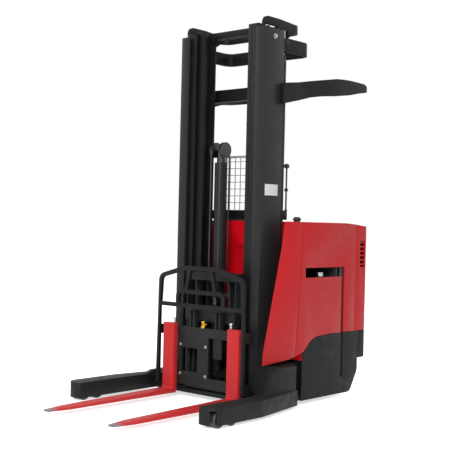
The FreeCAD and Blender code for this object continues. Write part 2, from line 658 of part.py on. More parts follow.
# Inner arms: pinned at the top to the fork side, rollers at the foot in the mast side guides.
inner_arm_plate = arm("inner_arm_plate", "arm_inner_x", fork_pivot_y, 1)
inner_arm_hole = shaft("inner_arm_top_hole", "X", (fork_pivot_y, "pivot_top"),
                       ("arm_inner_x - 1", inner_arm_out + " + 1"), "arm_pin + pin_play")
lug_y = "(%s - ram_lug * %s)" % (cross_y, lean)
lug_z = "(%s + ram_lug * %s)" % (cross_z, rise)
inner_arm = joined("inner_arm", [
    less("inner_arm_drilled", inner_arm_plate, [inner_arm_hole]),
    shaft("inner_arm_mid_pin", "X", (cross_y, cross_z), (inner_arm_out, outer_arm_out), "arm_pin"),
    shaft("inner_arm_stub", "X", ("pivot_y", roller_low), ("arm_inner_x - stub_long", "arm_inner_x"),
          "arm_pin"),
    shaft("inner_arm_roller", "X", ("pivot_y", roller_low),
          ("arm_inner_x - stub_long - arm_roller_width", "arm_inner_x - stub_long"), "arm_roller"),
    shaft("inner_arm_lug", "X", (lug_y, lug_z), ("16", "arm_inner_x"), "arm_pin")])
node("inner_arms", joined("inner_arm_pair", both_sides("inner_arm_twin", inner_arm)))


def guide(name, web_face, sense, middle):
    """A roller guide: a channel whose web is away from the arm."""
    reach = "(arm_roller + roller_play)"
    front = "(%s - %s - guide_flange)" % (middle, reach)
    rear = "(%s + %s + guide_flange)" % (middle, reach)
    near = "(%s + %d * guide_web)" % (web_face, sense)
    mouth = "(%s + %d * (guide_web + guide_mouth))" % (web_face, sense)
    outline = [(web_face, front), (mouth, front), (mouth, front + " + guide_flange"),
               (near, front + " + guide_flange"), (near, rear + " - guide_flange"),
               (mouth, rear + " - guide_flange"), (mouth, rear), (web_face, rear)]
    return prism(name, "XY", outline, ("guide_low", "guide_high"))


# Mast carriage: guides and top pins for the arms, side plates with rollers in the inner rails.
mast_guide_x = "(arm_inner_x - guide_side - guide_mouth - guide_web)"
mast_guide = guide("mast_guide", mast_guide_x, 1, "pivot_y")
back_front = "(pivot_y + arm_end + move_gap)"
side_plate = block("side_plate", ("inner_in - stage_gap - side_plate_thick", "inner_in - stage_gap"),
                   (back_front, inner_rear), ("free_foot + move_gap", "guide_high"))
guide_back = "(pivot_y + arm_roller + roller_play + guide_flange)"
carriage_ties = []
for place, low in (("low", "guide_low + 60"), ("high", "guide_high - 120")):
    heights = (low, low + " + tie_plate_high")
    carriage_ties.append(block("carriage_tie_" + place, ("0", "inner_in - stage_gap"),
                               (back_front, back_front + " + tie_plate"), heights))
    carriage_ties.append(block("carriage_pad_" + place, (mast_guide_x, mast_guide_x + " + guide_web"),
                               (guide_back + " - 1", back_front), heights))
carriage_rollers = []
for place, height in (("low", "guide_low + 110"), ("high", "guide_high - 60")):
    carriage_rollers.append(roller(
        "carriage_roller_" + place, "(inner_in - stage_gap)", inner_web_in + " - roller_play",
        "%s + inner_flange" % inner_front, "%s - inner_flange" % inner_rear, height))
top_post = block("top_post", (mast_guide_x, mast_guide_x + " + guide_web"),
                 ("pivot_y - arm_end", guide_back), ("guide_high", "pivot_top + arm_end"))
top_pin = shaft("top_pin", "X", ("pivot_y", "pivot_top"), (mast_guide_x, outer_arm_out), "arm_pin")
ram_foot = block("ram_foot", ("20", "32"), ("ram_foot_y - 16", back_front),
                 ("ram_foot_z - 20", "ram_foot_z + 20"))
half_carriage = joined("half_carriage", [mast_guide, side_plate, top_post, top_pin, ram_foot]
                       + carriage_ties + carriage_rollers)
ram_foot_pin = shaft("ram_foot_pin", "X", ("ram_foot_y", "ram_foot_z"), ("-20", "20"), "ram_rod - 4")
top_tie = block("top_tie", ("-(%s)" % mast_guide_x, mast_guide_x),
                (guide_back + " - 12", guide_back), ("pivot_top - 40", "pivot_top"))
node("mast_carriage", joined("mast_carriage_parts",
                             both_sides("half_carriage_twin", half_carriage) + [ram_foot_pin, top_tie]))

# Reach carriage: guides for the outer arm rollers, pins for the inner arms, cross plates.
fork_guide_x = "(%s + guide_side + guide_mouth + guide_web)" % outer_arm_out
fork_guide = guide("fork_guide", fork_guide_x, -1, fork_pivot_y)
fork_guide_front = "(%s - arm_roller - roller_play - guide_flange)" % fork_pivot_y
fork_post = block("fork_post", (fork_guide_x + " - guide_web", fork_guide_x),
                  (fork_guide_front, fork_pivot_y + " + arm_end"), ("guide_high", "pivot_top + arm_end"))
fork_pin = shaft("fork_pin", "X", (fork_pivot_y, "pivot_top"),
                 ("arm_inner_x - 16", "arm_inner_x + arm_thick"), "arm_pin")
fork_pin_lug = block("fork_pin_lug", ("arm_inner_x - 16", "arm_inner_x - 6"),
                     (fork_guide_front, fork_pivot_y + " + arm_pin + 4"),
                     ("pivot_top - 30", "pivot_top + arm_end"))
half_reach = joined("half_reach", [fork_guide, fork_post, fork_pin, fork_pin_lug])
cross_front = "(%s - cross_thick)" % fork_guide_front
reach_plates = []
for place, low, high in (("low", "guide_low", "guide_low + 60"), ("middle", "tilt_height - 60", "tilt_height + 40"),
                         ("high", "pivot_top - 30", "pivot_top + arm_end")):
    reach_plates.append(block("reach_plate_" + place, ("-(%s)" % fork_guide_x, fork_guide_x),
                              (cross_front, fork_guide_front), (low, high)))
tilt_lugs = []
tilt_y = "(%s - tilt_pin - 4)" % cross_front
for place, middle in (("left", "120"), ("right", "-120")):
    tilt_lugs.append(block("tilt_lug_" + place, (middle + " - 8", middle + " + 8"),
                           (tilt_y + " - tilt_pin", cross_front),
                           ("tilt_height - 16", "tilt_height + 16")))
    tilt_lugs.append(shaft("tilt_pin_" + place, "X", (tilt_y, "tilt_height"),
                           (middle + " - 24", middle + " + 24"), "tilt_pin - 4"))
node("reach_carriage", joined("reach_parts", both_sides("half_reach_twin", half_reach)
                              + reach_plates + tilt_lugs))

# Reach cylinder: barrel from its foot pin, rod to the lugs between the inner arms.
ram_run = "(%s - ram_foot_z)" % lug_z
ram_lean = "(ram_foot_y - %s)" % lug_y
ram_length = "(sqrt(%s * %s + %s * %s))" % (ram_run, ram_run, ram_lean, ram_lean)


def leaned(thing):
    """Turns an upright piece from the foot pin towards the rod pin."""
    thing.Placement = FreeCAD.Placement(FreeCAD.Vector(), FreeCAD.Rotation(FreeCAD.Vector(1, 0, 0), 0))
    tie(thing, Placement__Rotation__Angle="atan(%s / %s)" % (ram_lean, ram_run))
    return tie(thing, Placement__Base__y="ram_foot_y", Placement__Base__z="ram_foot_z")


ram_shell = shaft("ram_shell", "Z", ("0", "0"), ("30", ram_length + " - 70"), "ram_radius")
ram_eye = shaft("ram_eye", "X", ("0", "0"), ("-16", "16"), "ram_radius + 4")
ram_bore = shaft("ram_bore", "Z", ("0", "0"), ("60", ram_length), "ram_rod + pin_play")
ram_hole = shaft("ram_hole", "X", ("0", "0"), ("-17", "17"), "ram_rod - 4 + pin_play")
node("reach_barrel", leaned(less("ram_tube", joined("ram_case", [ram_shell, ram_eye]), [ram_bore, ram_hole])))
ram_stem = shaft("ram_stem", "Z", ("0", "0"), ("66", ram_length + " - 10"), "ram_rod")
ram_end = shaft("ram_end", "X", ("0", ram_length), ("-12", "12"), "ram_rod + 6")
node("reach_rod", leaned(joined("ram_piston", [ram_stem, ram_end])))

# Fork frame: two bars, a middle plate with a window, and tilt ears.
frame_low_bar = block("frame_low_bar", ("rest_bar - rest_half", "rest_half - rest_bar"), (heel_rear, bar_rear),
                      ("low_bar", "low_bar + bar_high"))
frame_high_bar = block("frame_high_bar", ("rest_bar - rest_half", "rest_half - rest_bar"), (heel_rear, bar_rear),
                       ("high_bar", "high_bar + bar_high"))
window = [("window_start", "window_low"), ("window_end", "window_low"), ("window_end", "window_high"),
          ("window_start", "window_high")]
frame_plate = prism("frame_plate", "XZ", [
    ("plate_start", "low_bar"), ("plate_end", "low_bar"), ("plate_end", "high_bar + bar_high"),
    ("plate_start", "high_bar + bar_high")],
                    (heel_rear, bar_rear + " - 10"), [window])
frame_strip = block("frame_strip", ("strip_start", "strip_end"), (heel_rear + " + 12", bar_rear),
                    ("strip_low", "high_bar + 1"))
ears = []
for place, middle in (("left", "120"), ("right", "-120")):
    for edge, low, high in (("a", "-24", "-11"), ("b", "11", "24")):
        lug = block("ear_%s_%s" % (place, edge), (middle + " + " + low, middle + " + " + high),
                    (heel_rear, tilt_y + " + tilt_pin - 2"), ("high_bar", "tilt_height + 16"))
        ears.append(less("ear_drilled_%s_%s" % (place, edge), lug, [
            shaft("ear_hole_%s_%s" % (place, edge), "X", (tilt_y, "tilt_height"),
                  (middle + " - 30", middle + " + 30"), "tilt_pin - 4 + pin_play")]))
node("fork_frame", joined("fork_frame_parts", [frame_low_bar, frame_high_bar, frame_plate, frame_strip] + ears))

# Load backrest: an arched frame of bars with an inner arch and two struts.
rest_y = ("rest_front", "rest_front + rest_depth")
rest_outline = [("-rest_half", "low_bar"), ("rest_bar - rest_half", "low_bar"),
                ("rest_bar - rest_half", "rest_rail"),
                ("rest_half - rest_bar", "rest_rail"), ("rest_half - rest_bar", "low_bar"),
                ("rest_half", "low_bar"), ("rest_half - 14", "rest_corner", "60"),
                ("150", "rest_top - 4", "300"), ("-150", "rest_top - 4", "300"),
                ("14 - rest_half", "rest_corner", "60")]
rest_window = [("rest_bar - rest_half + 6", "rest_rail + rest_bar"),
               ("rest_half - rest_bar - 6", "rest_rail + rest_bar"),
               ("rest_half - rest_bar - 16", "rest_corner - rest_bar + 6", "34"),
               ("142", "rest_top - rest_bar - 6", "300"), ("-142", "rest_top - rest_bar - 6", "300"),
               ("rest_bar - rest_half + 16", "rest_corner - rest_bar + 6", "34")]
rest_frame = prism("rest_frame", "XZ", rest_outline, rest_y, [rest_window])
rest_inner = prism("rest_inner", "XZ", [
    ("-rest_inner_half", "rest_rail + 1"), ("-rest_inner_half", "rest_inner_top", "50"),
    ("rest_inner_half", "rest_inner_top", "50"), ("rest_inner_half", "rest_rail + 1"),
    ("rest_inner_half - rest_bar", "rest_rail + 1"),
    ("rest_inner_half - rest_bar", "rest_inner_top - rest_bar", "24"),
    ("rest_bar - rest_inner_half", "rest_inner_top - rest_bar", "24"),
    ("rest_bar - rest_inner_half", "rest_rail + 1")], rest_y)
struts = []
for side, sign in (("left", ""), ("right", "-")):
    low_in, low_out = sign + "120", sign + "148"
    high_in, high_out = sign + "84", sign + "112"
    struts.append(prism("rest_strut_" + side, "XZ", [
        (low_in, "rest_inner_top - 2"), (low_out, "rest_inner_top - 2"),
        (high_out, "rest_top - rest_bar + 2"), (high_in, "rest_top - rest_bar + 2")], rest_y))
rest_tabs = []
for place, foot in (("low", "low_bar"), ("high", "high_bar")):
    tab = block("rest_tab_" + place, ("rest_half - rest_bar", "rest_half"), ("rest_front + rest_depth - 1", bar_rear),
                (foot, foot + " + bar_high"))
    rest_tabs += both_sides("rest_tab_twin_" + place, tab)
node("load_backrest", joined("load_backrest_parts", [rest_frame, rest_inner] + struts + rest_tabs))

# Forks: a tapered blade with a narrowed tip, the shank and its hooks.
tip_y = "(heel_front - fork_length)"
fork_side = prism("fork_side", "YZ", [
    (heel_rear, "blade_low", "20"), (heel_rear, "fork_top"), ("heel_front", "fork_top"),
    ("heel_front", "blade_top", "12"), (tip_y, "blade_low + tip_thick"), (tip_y, "blade_low")],
    ("fork_centre - fork_width / 2", "fork_centre + fork_width / 2"))
fork_plan = prism("fork_plan", "XY", [
    ("fork_centre - fork_width / 2", heel_rear), ("fork_centre - fork_width / 2", tip_y + " + tip_taper"),
    ("fork_centre - tip_width / 2", tip_y), ("fork_centre + tip_width / 2", tip_y),
    ("fork_centre + fork_width / 2", tip_y + " + tip_taper"), ("fork_centre + fork_width / 2", heel_rear)],
    ("0", "fork_top"))
fork = doc.addObject("Part::Common", "fork_blade")
fork.Base = fork_side
fork.Tool = fork_plan
node("fork_left", fork)
node("fork_right", mirrored("fork_twin", fork))

# Legs: hollow at the load wheels, narrowed towards the root.
leg_outer = "(leg_inner + leg_width)"
leg_middle = "(leg_inner + leg_width / 2)"
leg_plan = prism("leg_plan", "XY", [
    ("leg_inner", "leg_nose", "leg_round_in"), (leg_outer, "leg_nose", "leg_round_out"),
    (leg_outer, "leg_bend", "leg_round_bend"),
    ("leg_inner + leg_root_width", "leg_rear"), ("leg_inner", "leg_rear")], ("leg_low", "leg_high"))
wheel_well = block("wheel_well", ("leg_inner + leg_plate", leg_outer + " - leg_plate"),
                   ("load_first - load_radius - 12", "load_first + load_pitch + load_radius + 12"),
                   ("leg_low - 1", "2 * load_radius + move_gap"))
leg_axles = []
for index in range(2):
    leg_axles.append(shaft("leg_axle_%d" % index, "X", ("load_first + %d * load_pitch" % index, "load_radius"),
                           ("leg_inner + leg_plate - 1", leg_outer + " - leg_plate + 1"), "load_axle"))
legs = []
for side, high, bend in (("left", "root_high", "root_bend"), ("right", "right_root_high", "right_root_high - leg_high - 1")):
    root = prism("leg_root_" + side, "YZ", [
        ("root_start", "leg_high - 1"), ("root_rise", high, bend), ("leg_rear", high), ("leg_rear", "leg_high - 1")],
        ("leg_inner", "leg_inner + root_thick"))
    shell = less("leg_shell_" + side, joined("leg_solid_" + side, [leg_plan, root]), [wheel_well])
    legs.append(joined("whole_leg_" + side, [shell] + leg_axles))
node("leg_left", legs[0])
node("leg_right", mirrored("leg_twin", legs[1]))


def tyred(name, radius, width, bore, x, y, z, crown="6"):
    """A wheel on an axle along X, its tyre's edges cut back."""
    half = "(%s) / 2" % width
    return turned(name, [
        ("-%s" % half, bore), (half, bore), (half, "%s - %s" % (radius, crown)),
        ("%s - %s" % (half, crown), radius), ("%s - %s" % (crown, half), radius),
        ("-%s" % half, "%s - %s" % (radius, crown))], "X", x, y, z)


for side, sign in (("left", ""), ("right", "-")):
    for index, row in enumerate(("front", "rear")):
        wheel = tyred("load_wheel_%s_%s" % (side, row), "load_radius", "load_width", "(load_axle + pin_play)",
                      "%s%s" % (sign, leg_middle), "load_first + %d * load_pitch" % index, "load_radius")
        node("load_wheel_%s_%s" % (side, row), wheel)

# Chassis: the beam under the mast, the battery tray and the rear deck.
front_beam = block("front_beam", ("-leg_inner", "leg_inner"), ("0", "leg_rear"), ("leg_low + 10", "rail_foot"))
keel = block("keel", ("skin - body_half", "body_half - skin"), ("leg_rear", "wall_y"),
             ("leg_low + 10", "rail_foot"))
tray = block("tray", ("-body_half + skin", "body_half - skin"), ("wall_y", "room_front"),
             ("battery_low - 24", "battery_low"))
cross_wall = block("cross_wall", ("-body_half + skin", "body_half - skin"),
                   ("battery_rear + 6", "room_front"), ("battery_low - 24", "deck_low + deck_thick"))
drive_deck = block("drive_deck", ("bumper_thick - body_half", "room_right"),
                   ("room_front - 1", "body_rear - bumper_thick"), ("deck_low", "deck_low + deck_thick"))
cheeks = []
for side, sign in (("left", 1), ("right", -1)):
    low = "mast_half + seat_gap" if sign > 0 else "-leg_inner"
    high = "leg_inner" if sign > 0 else "-mast_half - seat_gap"
    top = "body_low - cheek_drop" if sign > 0 else "right_root_high"
    cheeks.append(block("cheek_" + side, (low, high), ("cheek_front", "leg_rear"), ("rail_foot - 1", top)))
    low = "mast_half + seat_gap" if sign > 0 else "web_side - body_half"
    high = "body_half - web_side" if sign > 0 else "-mast_half - seat_gap"
    cheeks.append(block("web_" + side, (low, high), ("leg_rear - 1", "wall_y"),
                        ("rail_foot - 1", "body_low - cheek_drop")))
tunnel_wall = block("tunnel_wall", ("room_right - skin", "room_right - seat_gap"),
                    ("room_front - 1", "body_rear - bumper_thick"), ("floor_top - floor_thick", "deck_low + 1"))
node("chassis", joined("chassis_parts", [front_beam, keel, tray, cross_wall, drive_deck, tunnel_wall] + cheeks))

node("battery", block("battery_case", ("-battery_half", "battery_half"), ("battery_front", "battery_rear"),
                      ("battery_low", "battery_high")))

# Side covers: slanted front with a bevel that widens upwards, hand slot and upright slit.
cover_outer = [("nose_y", "body_low"), ("nose_y + 8", "body_low + 90"), ("knee_y", "knee_z"),
               ("brow_y", "body_top"), ("cover_fall", "body_top"), ("cover_rear", "cover_high_rear"),
               ("cover_rear", "skirt_high + seat_gap"), ("arch_end", "skirt_high + seat_gap"),
               ("arch_knee", "arch_knee_z + arch_gap", "arch_bend"),
               ("arch_start", "arch_start_z + arch_gap"), ("cover_foot_y", "cover_foot_z", "cover_foot_round")]
cover_hollow = prism("cover_hollow", "YZ", [
    ("nose_y + skin", "body_low - 1"), ("nose_y + 8 + skin", "body_low + 90"), ("knee_y + skin", "knee_z"),
    ("brow_y + skin", "body_top + 1"), ("cover_rear + 1", "body_top + 1"), ("cover_rear + 1", "body_low - 1")],
    ("cheek_x - 1", "body_half - skin"))


def shaved(name, inset, low, high, slope):
    """A wedge that takes the cover's side off in front of a slanted plane; inset moves it inboard."""
    sections = []
    for height, (place_x, place_y) in (("body_low - 1", low), ("body_top + 1", high)):
        edge = "(%s + (body_half + 1 - %s + %s) / %s)" % (place_y, place_x, inset, slope)
        front = "(nose_y - 200)"
        near = "(%s - %s + (%s - %s) * %s)" % (place_x, inset, front, place_y, slope)
        sections.append((height, [("body_half + 1", front), ("body_half + 1", edge), (near, front)]))
    return loft(name, "XY", sections)


# Cut planes: where each meets the body side or the nose at the foot and at the top, and its slope.
turn_in = (("body_half", "seam_low_y"), ("body_half", "seam_high_y"), "nose_slope")
bevel_side = "(body_half - nose_slope * (seam_high_y - bevel_high_y))"
bevel_slope = "((%s - cheek_x) / (bevel_high_y - brow_y))" % bevel_side
bevel = (("(body_half - nose_in)", "nose_y"), ("cheek_x", "brow_y"), bevel_slope)
cover_shell = less("cover_shell", prism("cover_body", "YZ", cover_outer, ("cheek_x", "body_half")),
                   [shaved("turn_out", "0", *turn_in), shaved("bevel_out", "0", *bevel)])
cover_room = less("cover_room", cover_hollow,
                  [shaved("turn_inside", "skin", *turn_in), shaved("bevel_inside", "skin", *bevel)])
seam = prism("seam", "YZ", [
    ("seam_low_y", "body_low - 1"), ("seam_low_y + seam_width", "body_low - 1"),
    ("seam_high_y + seam_width", "body_top + 1"), ("seam_high_y", "body_top + 1")],
    ("body_half - seam_deep", "body_half + 1"))
hand_slot = block("hand_slot", ("body_half - skin - 1", "body_half + 1"), ("slot_front", "slot_rear + 1"),
                  ("slot_low", "slot_high"))
slit = block("slit", ("body_half - skin - 1", "body_half + 1"), ("slot_rear", "slit_rear"),
             ("slit_low", "slot_high"))
cover = less("cover", cover_shell, [cover_room, hand_slot, slit, seam])
node("side_cover_left", cover)
# The right cover ends in an upright front behind the mast; drawn on the left and mirrored.
plain_outer = [("right_front", "right_foot_z"), ("right_front", "body_top")] + cover_outer[4:-1]
plain_room = block("plain_room", ("cheek_x - 1", "body_half - skin"), ("right_front + skin", "cover_rear + 1"),
                   ("body_low - 1", "body_top + 1"))
plain_cover = less("plain_cover", prism("plain_body", "YZ", plain_outer, ("cheek_x", "body_half")),
                   [plain_room, hand_slot, slit])
node("side_cover_right", mirrored("cover_twin", plain_cover))

# Skirts under the covers.
skirt_plate = prism("skirt_plate", "YZ", [
    ("skirt_front", "skirt_low"), ("skirt_front + 8", "arch_start_z - 30"), ("arch_start", "arch_start_z"),
    ("arch_knee", "arch_knee_z", "arch_bend"), ("arch_end", "skirt_high"), ("skirt_rear", "skirt_high"),
    ("skirt_rear", "skirt_heel_z", "heel_round_high"), ("skirt_heel_y", "skirt_low", "heel_round_low")], ("body_half - skin", "body_half"))
skirt = less("skirt", skirt_plate, [block("skirt_slit", ("body_half - skin - 1", "body_half + 1"),
                                          ("slot_rear", "slit_rear"), ("slit_low", "skirt_high + 1"))])
node("skirt_left", skirt)
node("skirt_right", mirrored("skirt_twin", skirt))

# Walls and decks.
front_wall = block("front_wall_plate", ("-inside_side", "inside_side"), ("wall_y", "wall_y + skin"),
                   ("body_low", "body_top"))
boss = shaft("boss", "Y", ("boss_x", "boss_z"), ("wall_y - boss_deep", "wall_y"), "boss_radius")
node("front_wall", joined("front_wall_parts", [front_wall, boss]))
node("top_deck", prism("top_deck_plate", "XY", [
    ("skin - body_half", "wall_y + skin"), ("body_half - skin", "wall_y + skin"),
    ("body_half - skin", "room_front + skin"), ("skin - body_half", "room_front + skin")],
    ("body_top - skin", "body_top")))
node("room_wall", block("room_wall_plate", ("skin - body_half", "body_half - skin"),
                        ("room_front", "room_front + skin"), ("deck_low + deck_thick", "body_top - skin")))
node("floor", block("floor_plate", ("room_right", "room_left"), ("room_front", "body_rear - 20"),
                    ("floor_top - floor_thick", "floor_top")))

# Lining at the operator's left, with the ledge that closes the body over it.
lining_wall = block("lining_wall", ("room_left + seat_gap", "room_left + skin"), ("room_start", "inside_rear"),
                    ("skirt_high + seat_gap", "body_rear_top"))
lining_foot = block("lining_foot", ("room_left + seat_gap", "room_left + skin"),
                    ("room_start", "body_rear - bumper_thick - seat_gap"),
                    ("floor_top - floor_thick", "skirt_high + 1"))
lining_ledge = prism("lining_ledge", "XY", [
    ("room_left + seat_gap", "room_start"), ("inside_side", "room_start"),
    ("inside_side", "inside_rear", "corner_round"), ("room_left + seat_gap", "inside_rear")],
    ("body_rear_top - skin", "body_rear_top"))
node("room_lining", joined("room_lining_parts", [lining_wall, lining_foot, lining_ledge]))

# Rear corner panels: a side wall and a rear wall in one, with a vent in the side.
corner_left = prism("corner_left", "XY", [
    ("body_half", "cover_rear"), ("body_half", "body_rear", "corner_round + skin"), ("room_left", "body_rear"),
    ("room_left", "body_rear - skin"), ("body_half - skin", "body_rear - skin", "corner_round"),
    ("body_half - skin", "cover_rear")], ("skirt_high + seat_gap", "body_top"))
vent = block("vent", ("body_half - skin - 1", "body_half + 1"), ("vent_front", "body_rear - 50"),
             ("vent_low", "vent_high"))
slats = []
for index in range(int(measure("(vent_high - vent_low) / slat_pitch"))):
    foot = "(vent_low + %d * slat_pitch + slat_pitch / 2)" % index
    slats.append(block("slat_%d" % index, ("body_half - skin + 2", "body_half - 3"),
                       ("vent_front - 1", "body_rear - 49"), (foot, foot + " + slat_high")))
rear_fall = prism("rear_fall", "YZ", [
    ("cover_rear - 1", "cover_high_rear"), ("body_rear + 1", "body_rear_top"), ("body_rear + 1", "body_top + 1"),
    ("cover_rear - 1", "body_top + 1")], ("-body_half - 1", "body_half + 1"))
node("rear_corner_left", joined("rear_corner_slatted", [less("rear_corner_vented", corner_left, [vent, rear_fall])]
                                + slats))
corner_right = prism("corner_right", "XY", [
    ("-body_half", "cover_rear"), ("skin - body_half", "cover_rear"),
    ("skin - body_half", "body_rear - skin", "corner_round"), ("room_right", "body_rear - skin"),
    ("room_right", "body_rear"), ("-body_half", "body_rear", "corner_round + skin")], ("skirt_high + seat_gap", "body_top"))
node("rear_corner_right", less("rear_corner_plain", corner_right, [rear_fall]))
bumpers = [
    prism("bumper_left", "XY", [
        ("body_half", "skirt_rear + seat_gap"), ("body_half", "body_rear", "corner_round + skin"), ("room_left", "body_rear"),
        ("room_left", "body_rear - bumper_thick"), ("body_half - bumper_thick", "body_rear - bumper_thick"),
        ("body_half - bumper_thick", "skirt_rear + seat_gap")], ("bumper_low", "skirt_high")),
    prism("bumper_right", "XY", [
        ("-body_half", "skirt_rear + seat_gap"), ("bumper_thick - body_half", "skirt_rear + seat_gap"),
        ("bumper_thick - body_half", "body_rear - bumper_thick"),
        ("room_right", "body_rear - bumper_thick"), ("room_right", "body_rear"),
        ("-body_half", "body_rear", "corner_round + skin")], ("bumper_low", "skirt_high"))]
node("rear_bumper", joined("rear_bumpers", bumpers))

# Drive cover beside the operator, open underneath.
drive_shell = block("drive_shell", ("bumper_thick - body_half", "room_right"),
                    ("room_front + skin + seat_gap", "body_rear - bumper_thick"),
                    ("deck_low + deck_thick", "cover_top"))
drive_void = block("drive_void", ("bumper_thick - body_half + skin", "room_right - skin"),
                   ("room_front + 2 * skin", "body_rear - bumper_thick - skin"), ("deck_low", "cover_top - skin"))
drive_lid = prism("drive_lid", "XY", [
    ("room_right", "room_start"), ("-inside_side", "room_start"),
    ("-inside_side", "inside_rear", "corner_round"), ("room_right", "inside_rear")],
    ("cover_top - skin", "cover_top"))
node("drive_cover", joined("drive_cover_parts", [less("drive_housing", drive_shell, [drive_void]), drive_lid]))

# Drive unit: motor on the deck, a steered head with one fork cheek, and the wheel.
node("drive_motor", shaft("motor", "Z", ("drive_x", "drive_y"),
                          ("deck_low + deck_thick", "motor_high"), "motor_radius"))
turntable = shaft("turntable", "Z", ("drive_x", "drive_y"), ("deck_low - 34", "deck_low - seat_gap"),
                  "motor_radius + 20")
gearbox = block("gearbox", ("drive_x + drive_width / 2 + 6", "drive_x + drive_width / 2 + 60"),
                ("drive_y - 60", "drive_y + 60"), ("drive_radius - 60", "deck_low - 20"))
drive_axle = shaft("drive_axle", "X", ("drive_y", "drive_radius"),
                   ("drive_x - drive_width / 2", "drive_x + drive_width / 2 + 10"), "drive_hub - 20")
node("drive_head", joined("drive_head_parts", [turntable, gearbox, drive_axle]))
node("drive_wheel", tyred("drive_tyre", "drive_radius", "drive_width", "(drive_hub - 20 + pin_play)", "drive_x",
                          "drive_y", "drive_radius", "10"))

# Caster: a swivel plate, a middle plate with the axle, and twin wheels.
caster_axle_y = "(caster_y + caster_trail)"
caster_seat = block("caster_seat", ("caster_x - 90", "caster_x + 90"), ("caster_y - 90", "caster_y + 90"),
                    ("floor_top - floor_thick - 20", "floor_top - floor_thick"))
node("caster_mount", caster_seat)
caster_plate = shaft("caster_plate", "Z", ("caster_x", "caster_y"),
                     ("2 * caster_radius + 8", "floor_top - floor_thick - 20 - seat_gap"), "70")
caster_web = block("caster_web", ("caster_x - caster_fork / 2", "caster_x + caster_fork / 2"),
                   ("caster_y - 30", caster_axle_y + " + 24"), ("caster_radius - 24", "2 * caster_radius + 10"))
caster_pin = shaft("caster_pin", "X", (caster_axle_y, "caster_radius"),
                   ("caster_x - caster_fork / 2 - 5 - caster_width", "caster_x + caster_fork / 2 + 5 + caster_width"),
                   "caster_axle")
node("caster_head", joined("caster_head_parts", [caster_plate, caster_web, caster_pin]))
caster_wheels = []
for side, sign in (("left", "+"), ("right", "-")):
    middle = "caster_x %s (caster_fork / 2 + 5 + caster_width / 2)" % sign
    caster_wheels.append(tyred("caster_wheel_" + side, "caster_radius", "caster_width",
                               "(caster_axle + pin_play)", middle, caster_axle_y, "caster_radius", "5"))
node("caster_wheels", joined("caster_wheel_pair", caster_wheels))

# Overhead guard: side bars lofted through named stations, a front beam and crossbars.
# Station: along, outer face, fall under the guard's top, depth.
STATIONS = [
    (mast_rear + " - 40", "mast_half + guard_thick", "91", "142"),
    (mast_rear + " + 113", "mast_half + guard_thick + 8", "70", "126"),
    (mast_rear + " + 233", "mast_half + guard_thick + 20", "47", "116"),
    (mast_rear + " + 353", "guard_half - 20", "27", "115"),
    ("guard_rear - 402", "guard_half", "10", "122"),
    ("guard_rear - 312", "guard_half", "3", "116"),
    ("guard_rear - 229", "guard_half", "0", "106"),
    ("guard_rear - 132", "guard_half", "1", "83"),
    ("guard_rear - 42", "guard_half", "4", "64"),
    ("guard_rear", "guard_half - 8", "19", "39"),
]
# Crossbar: along, fall under the guard's top, inside the guard's outer faces.
GUARD_BARS = [("560", "47", "70"), ("700", "27", "30"), ("840", "10", "20"), ("980", "8", "20")]
sections = []
for along, out, fall, depth in STATIONS:
    top = "guard_top - %s" % fall
    low = "guard_top - %s - %s" % (fall, depth)
    sections.append(("-(%s)" % along, [("%s - guard_thick" % out, low), (out, low), (out, top),
                                       ("%s - guard_thick" % out, top)]))
guard_side = loft("guard_side", "XZ", sections)
guard_bars = [block("guard_front", ("-mast_half - guard_thick / 2", "mast_half + guard_thick / 2"),
                    (lift_rear + " + move_gap", lift_rear + " + move_gap + front_bar_thick"),
                    ("guard_top - front_bar_foot", "guard_top - front_bar_fall"))]
for index, (along, fall, inset) in enumerate(GUARD_BARS):
    top = "guard_top - %s" % fall
    guard_bars.append(block("guard_bar_%d" % index, (inset + " - guard_half", "guard_half - " + inset),
                            (along, along + " + guard_bar"), (top + " - guard_bar_high", top)))
guard_bars.append(block("guard_tail", ("20 - guard_half", "guard_half - 20"),
                        ("guard_rear - tail_thick", "guard_rear"), ("guard_top - 55", "guard_top - 22")))
node("overhead_guard", joined("guard_parts", both_sides("guard_twin", guard_side) + guard_bars))

lamp_y = "(%s + move_gap)" % lift_rear
lamp_stalk = block("lamp_stalk", ("lamp_x - 20", "lamp_x + 20"), (lamp_y + " + 4", lamp_y + " + 24"),
                   ("lamp_high - 15", "guard_top - front_bar_foot"))
lamp_sections = []
for height, half, deep in (("lamp_high", "lamp_neck", "lamp_neck_deep"), ("lamp_low", "lamp_mouth", "lamp_mouth_deep")):
    lamp_sections.append((height, [
        ("lamp_x - " + half, lamp_y), ("lamp_x + " + half, lamp_y), ("lamp_x + " + half, lamp_y + " + " + deep),
        ("lamp_x - " + half, lamp_y + " + " + deep)]))
node("work_lamp", joined("lamp_parts", [lamp_stalk, loft("lamp_body", "XY", lamp_sections)]))

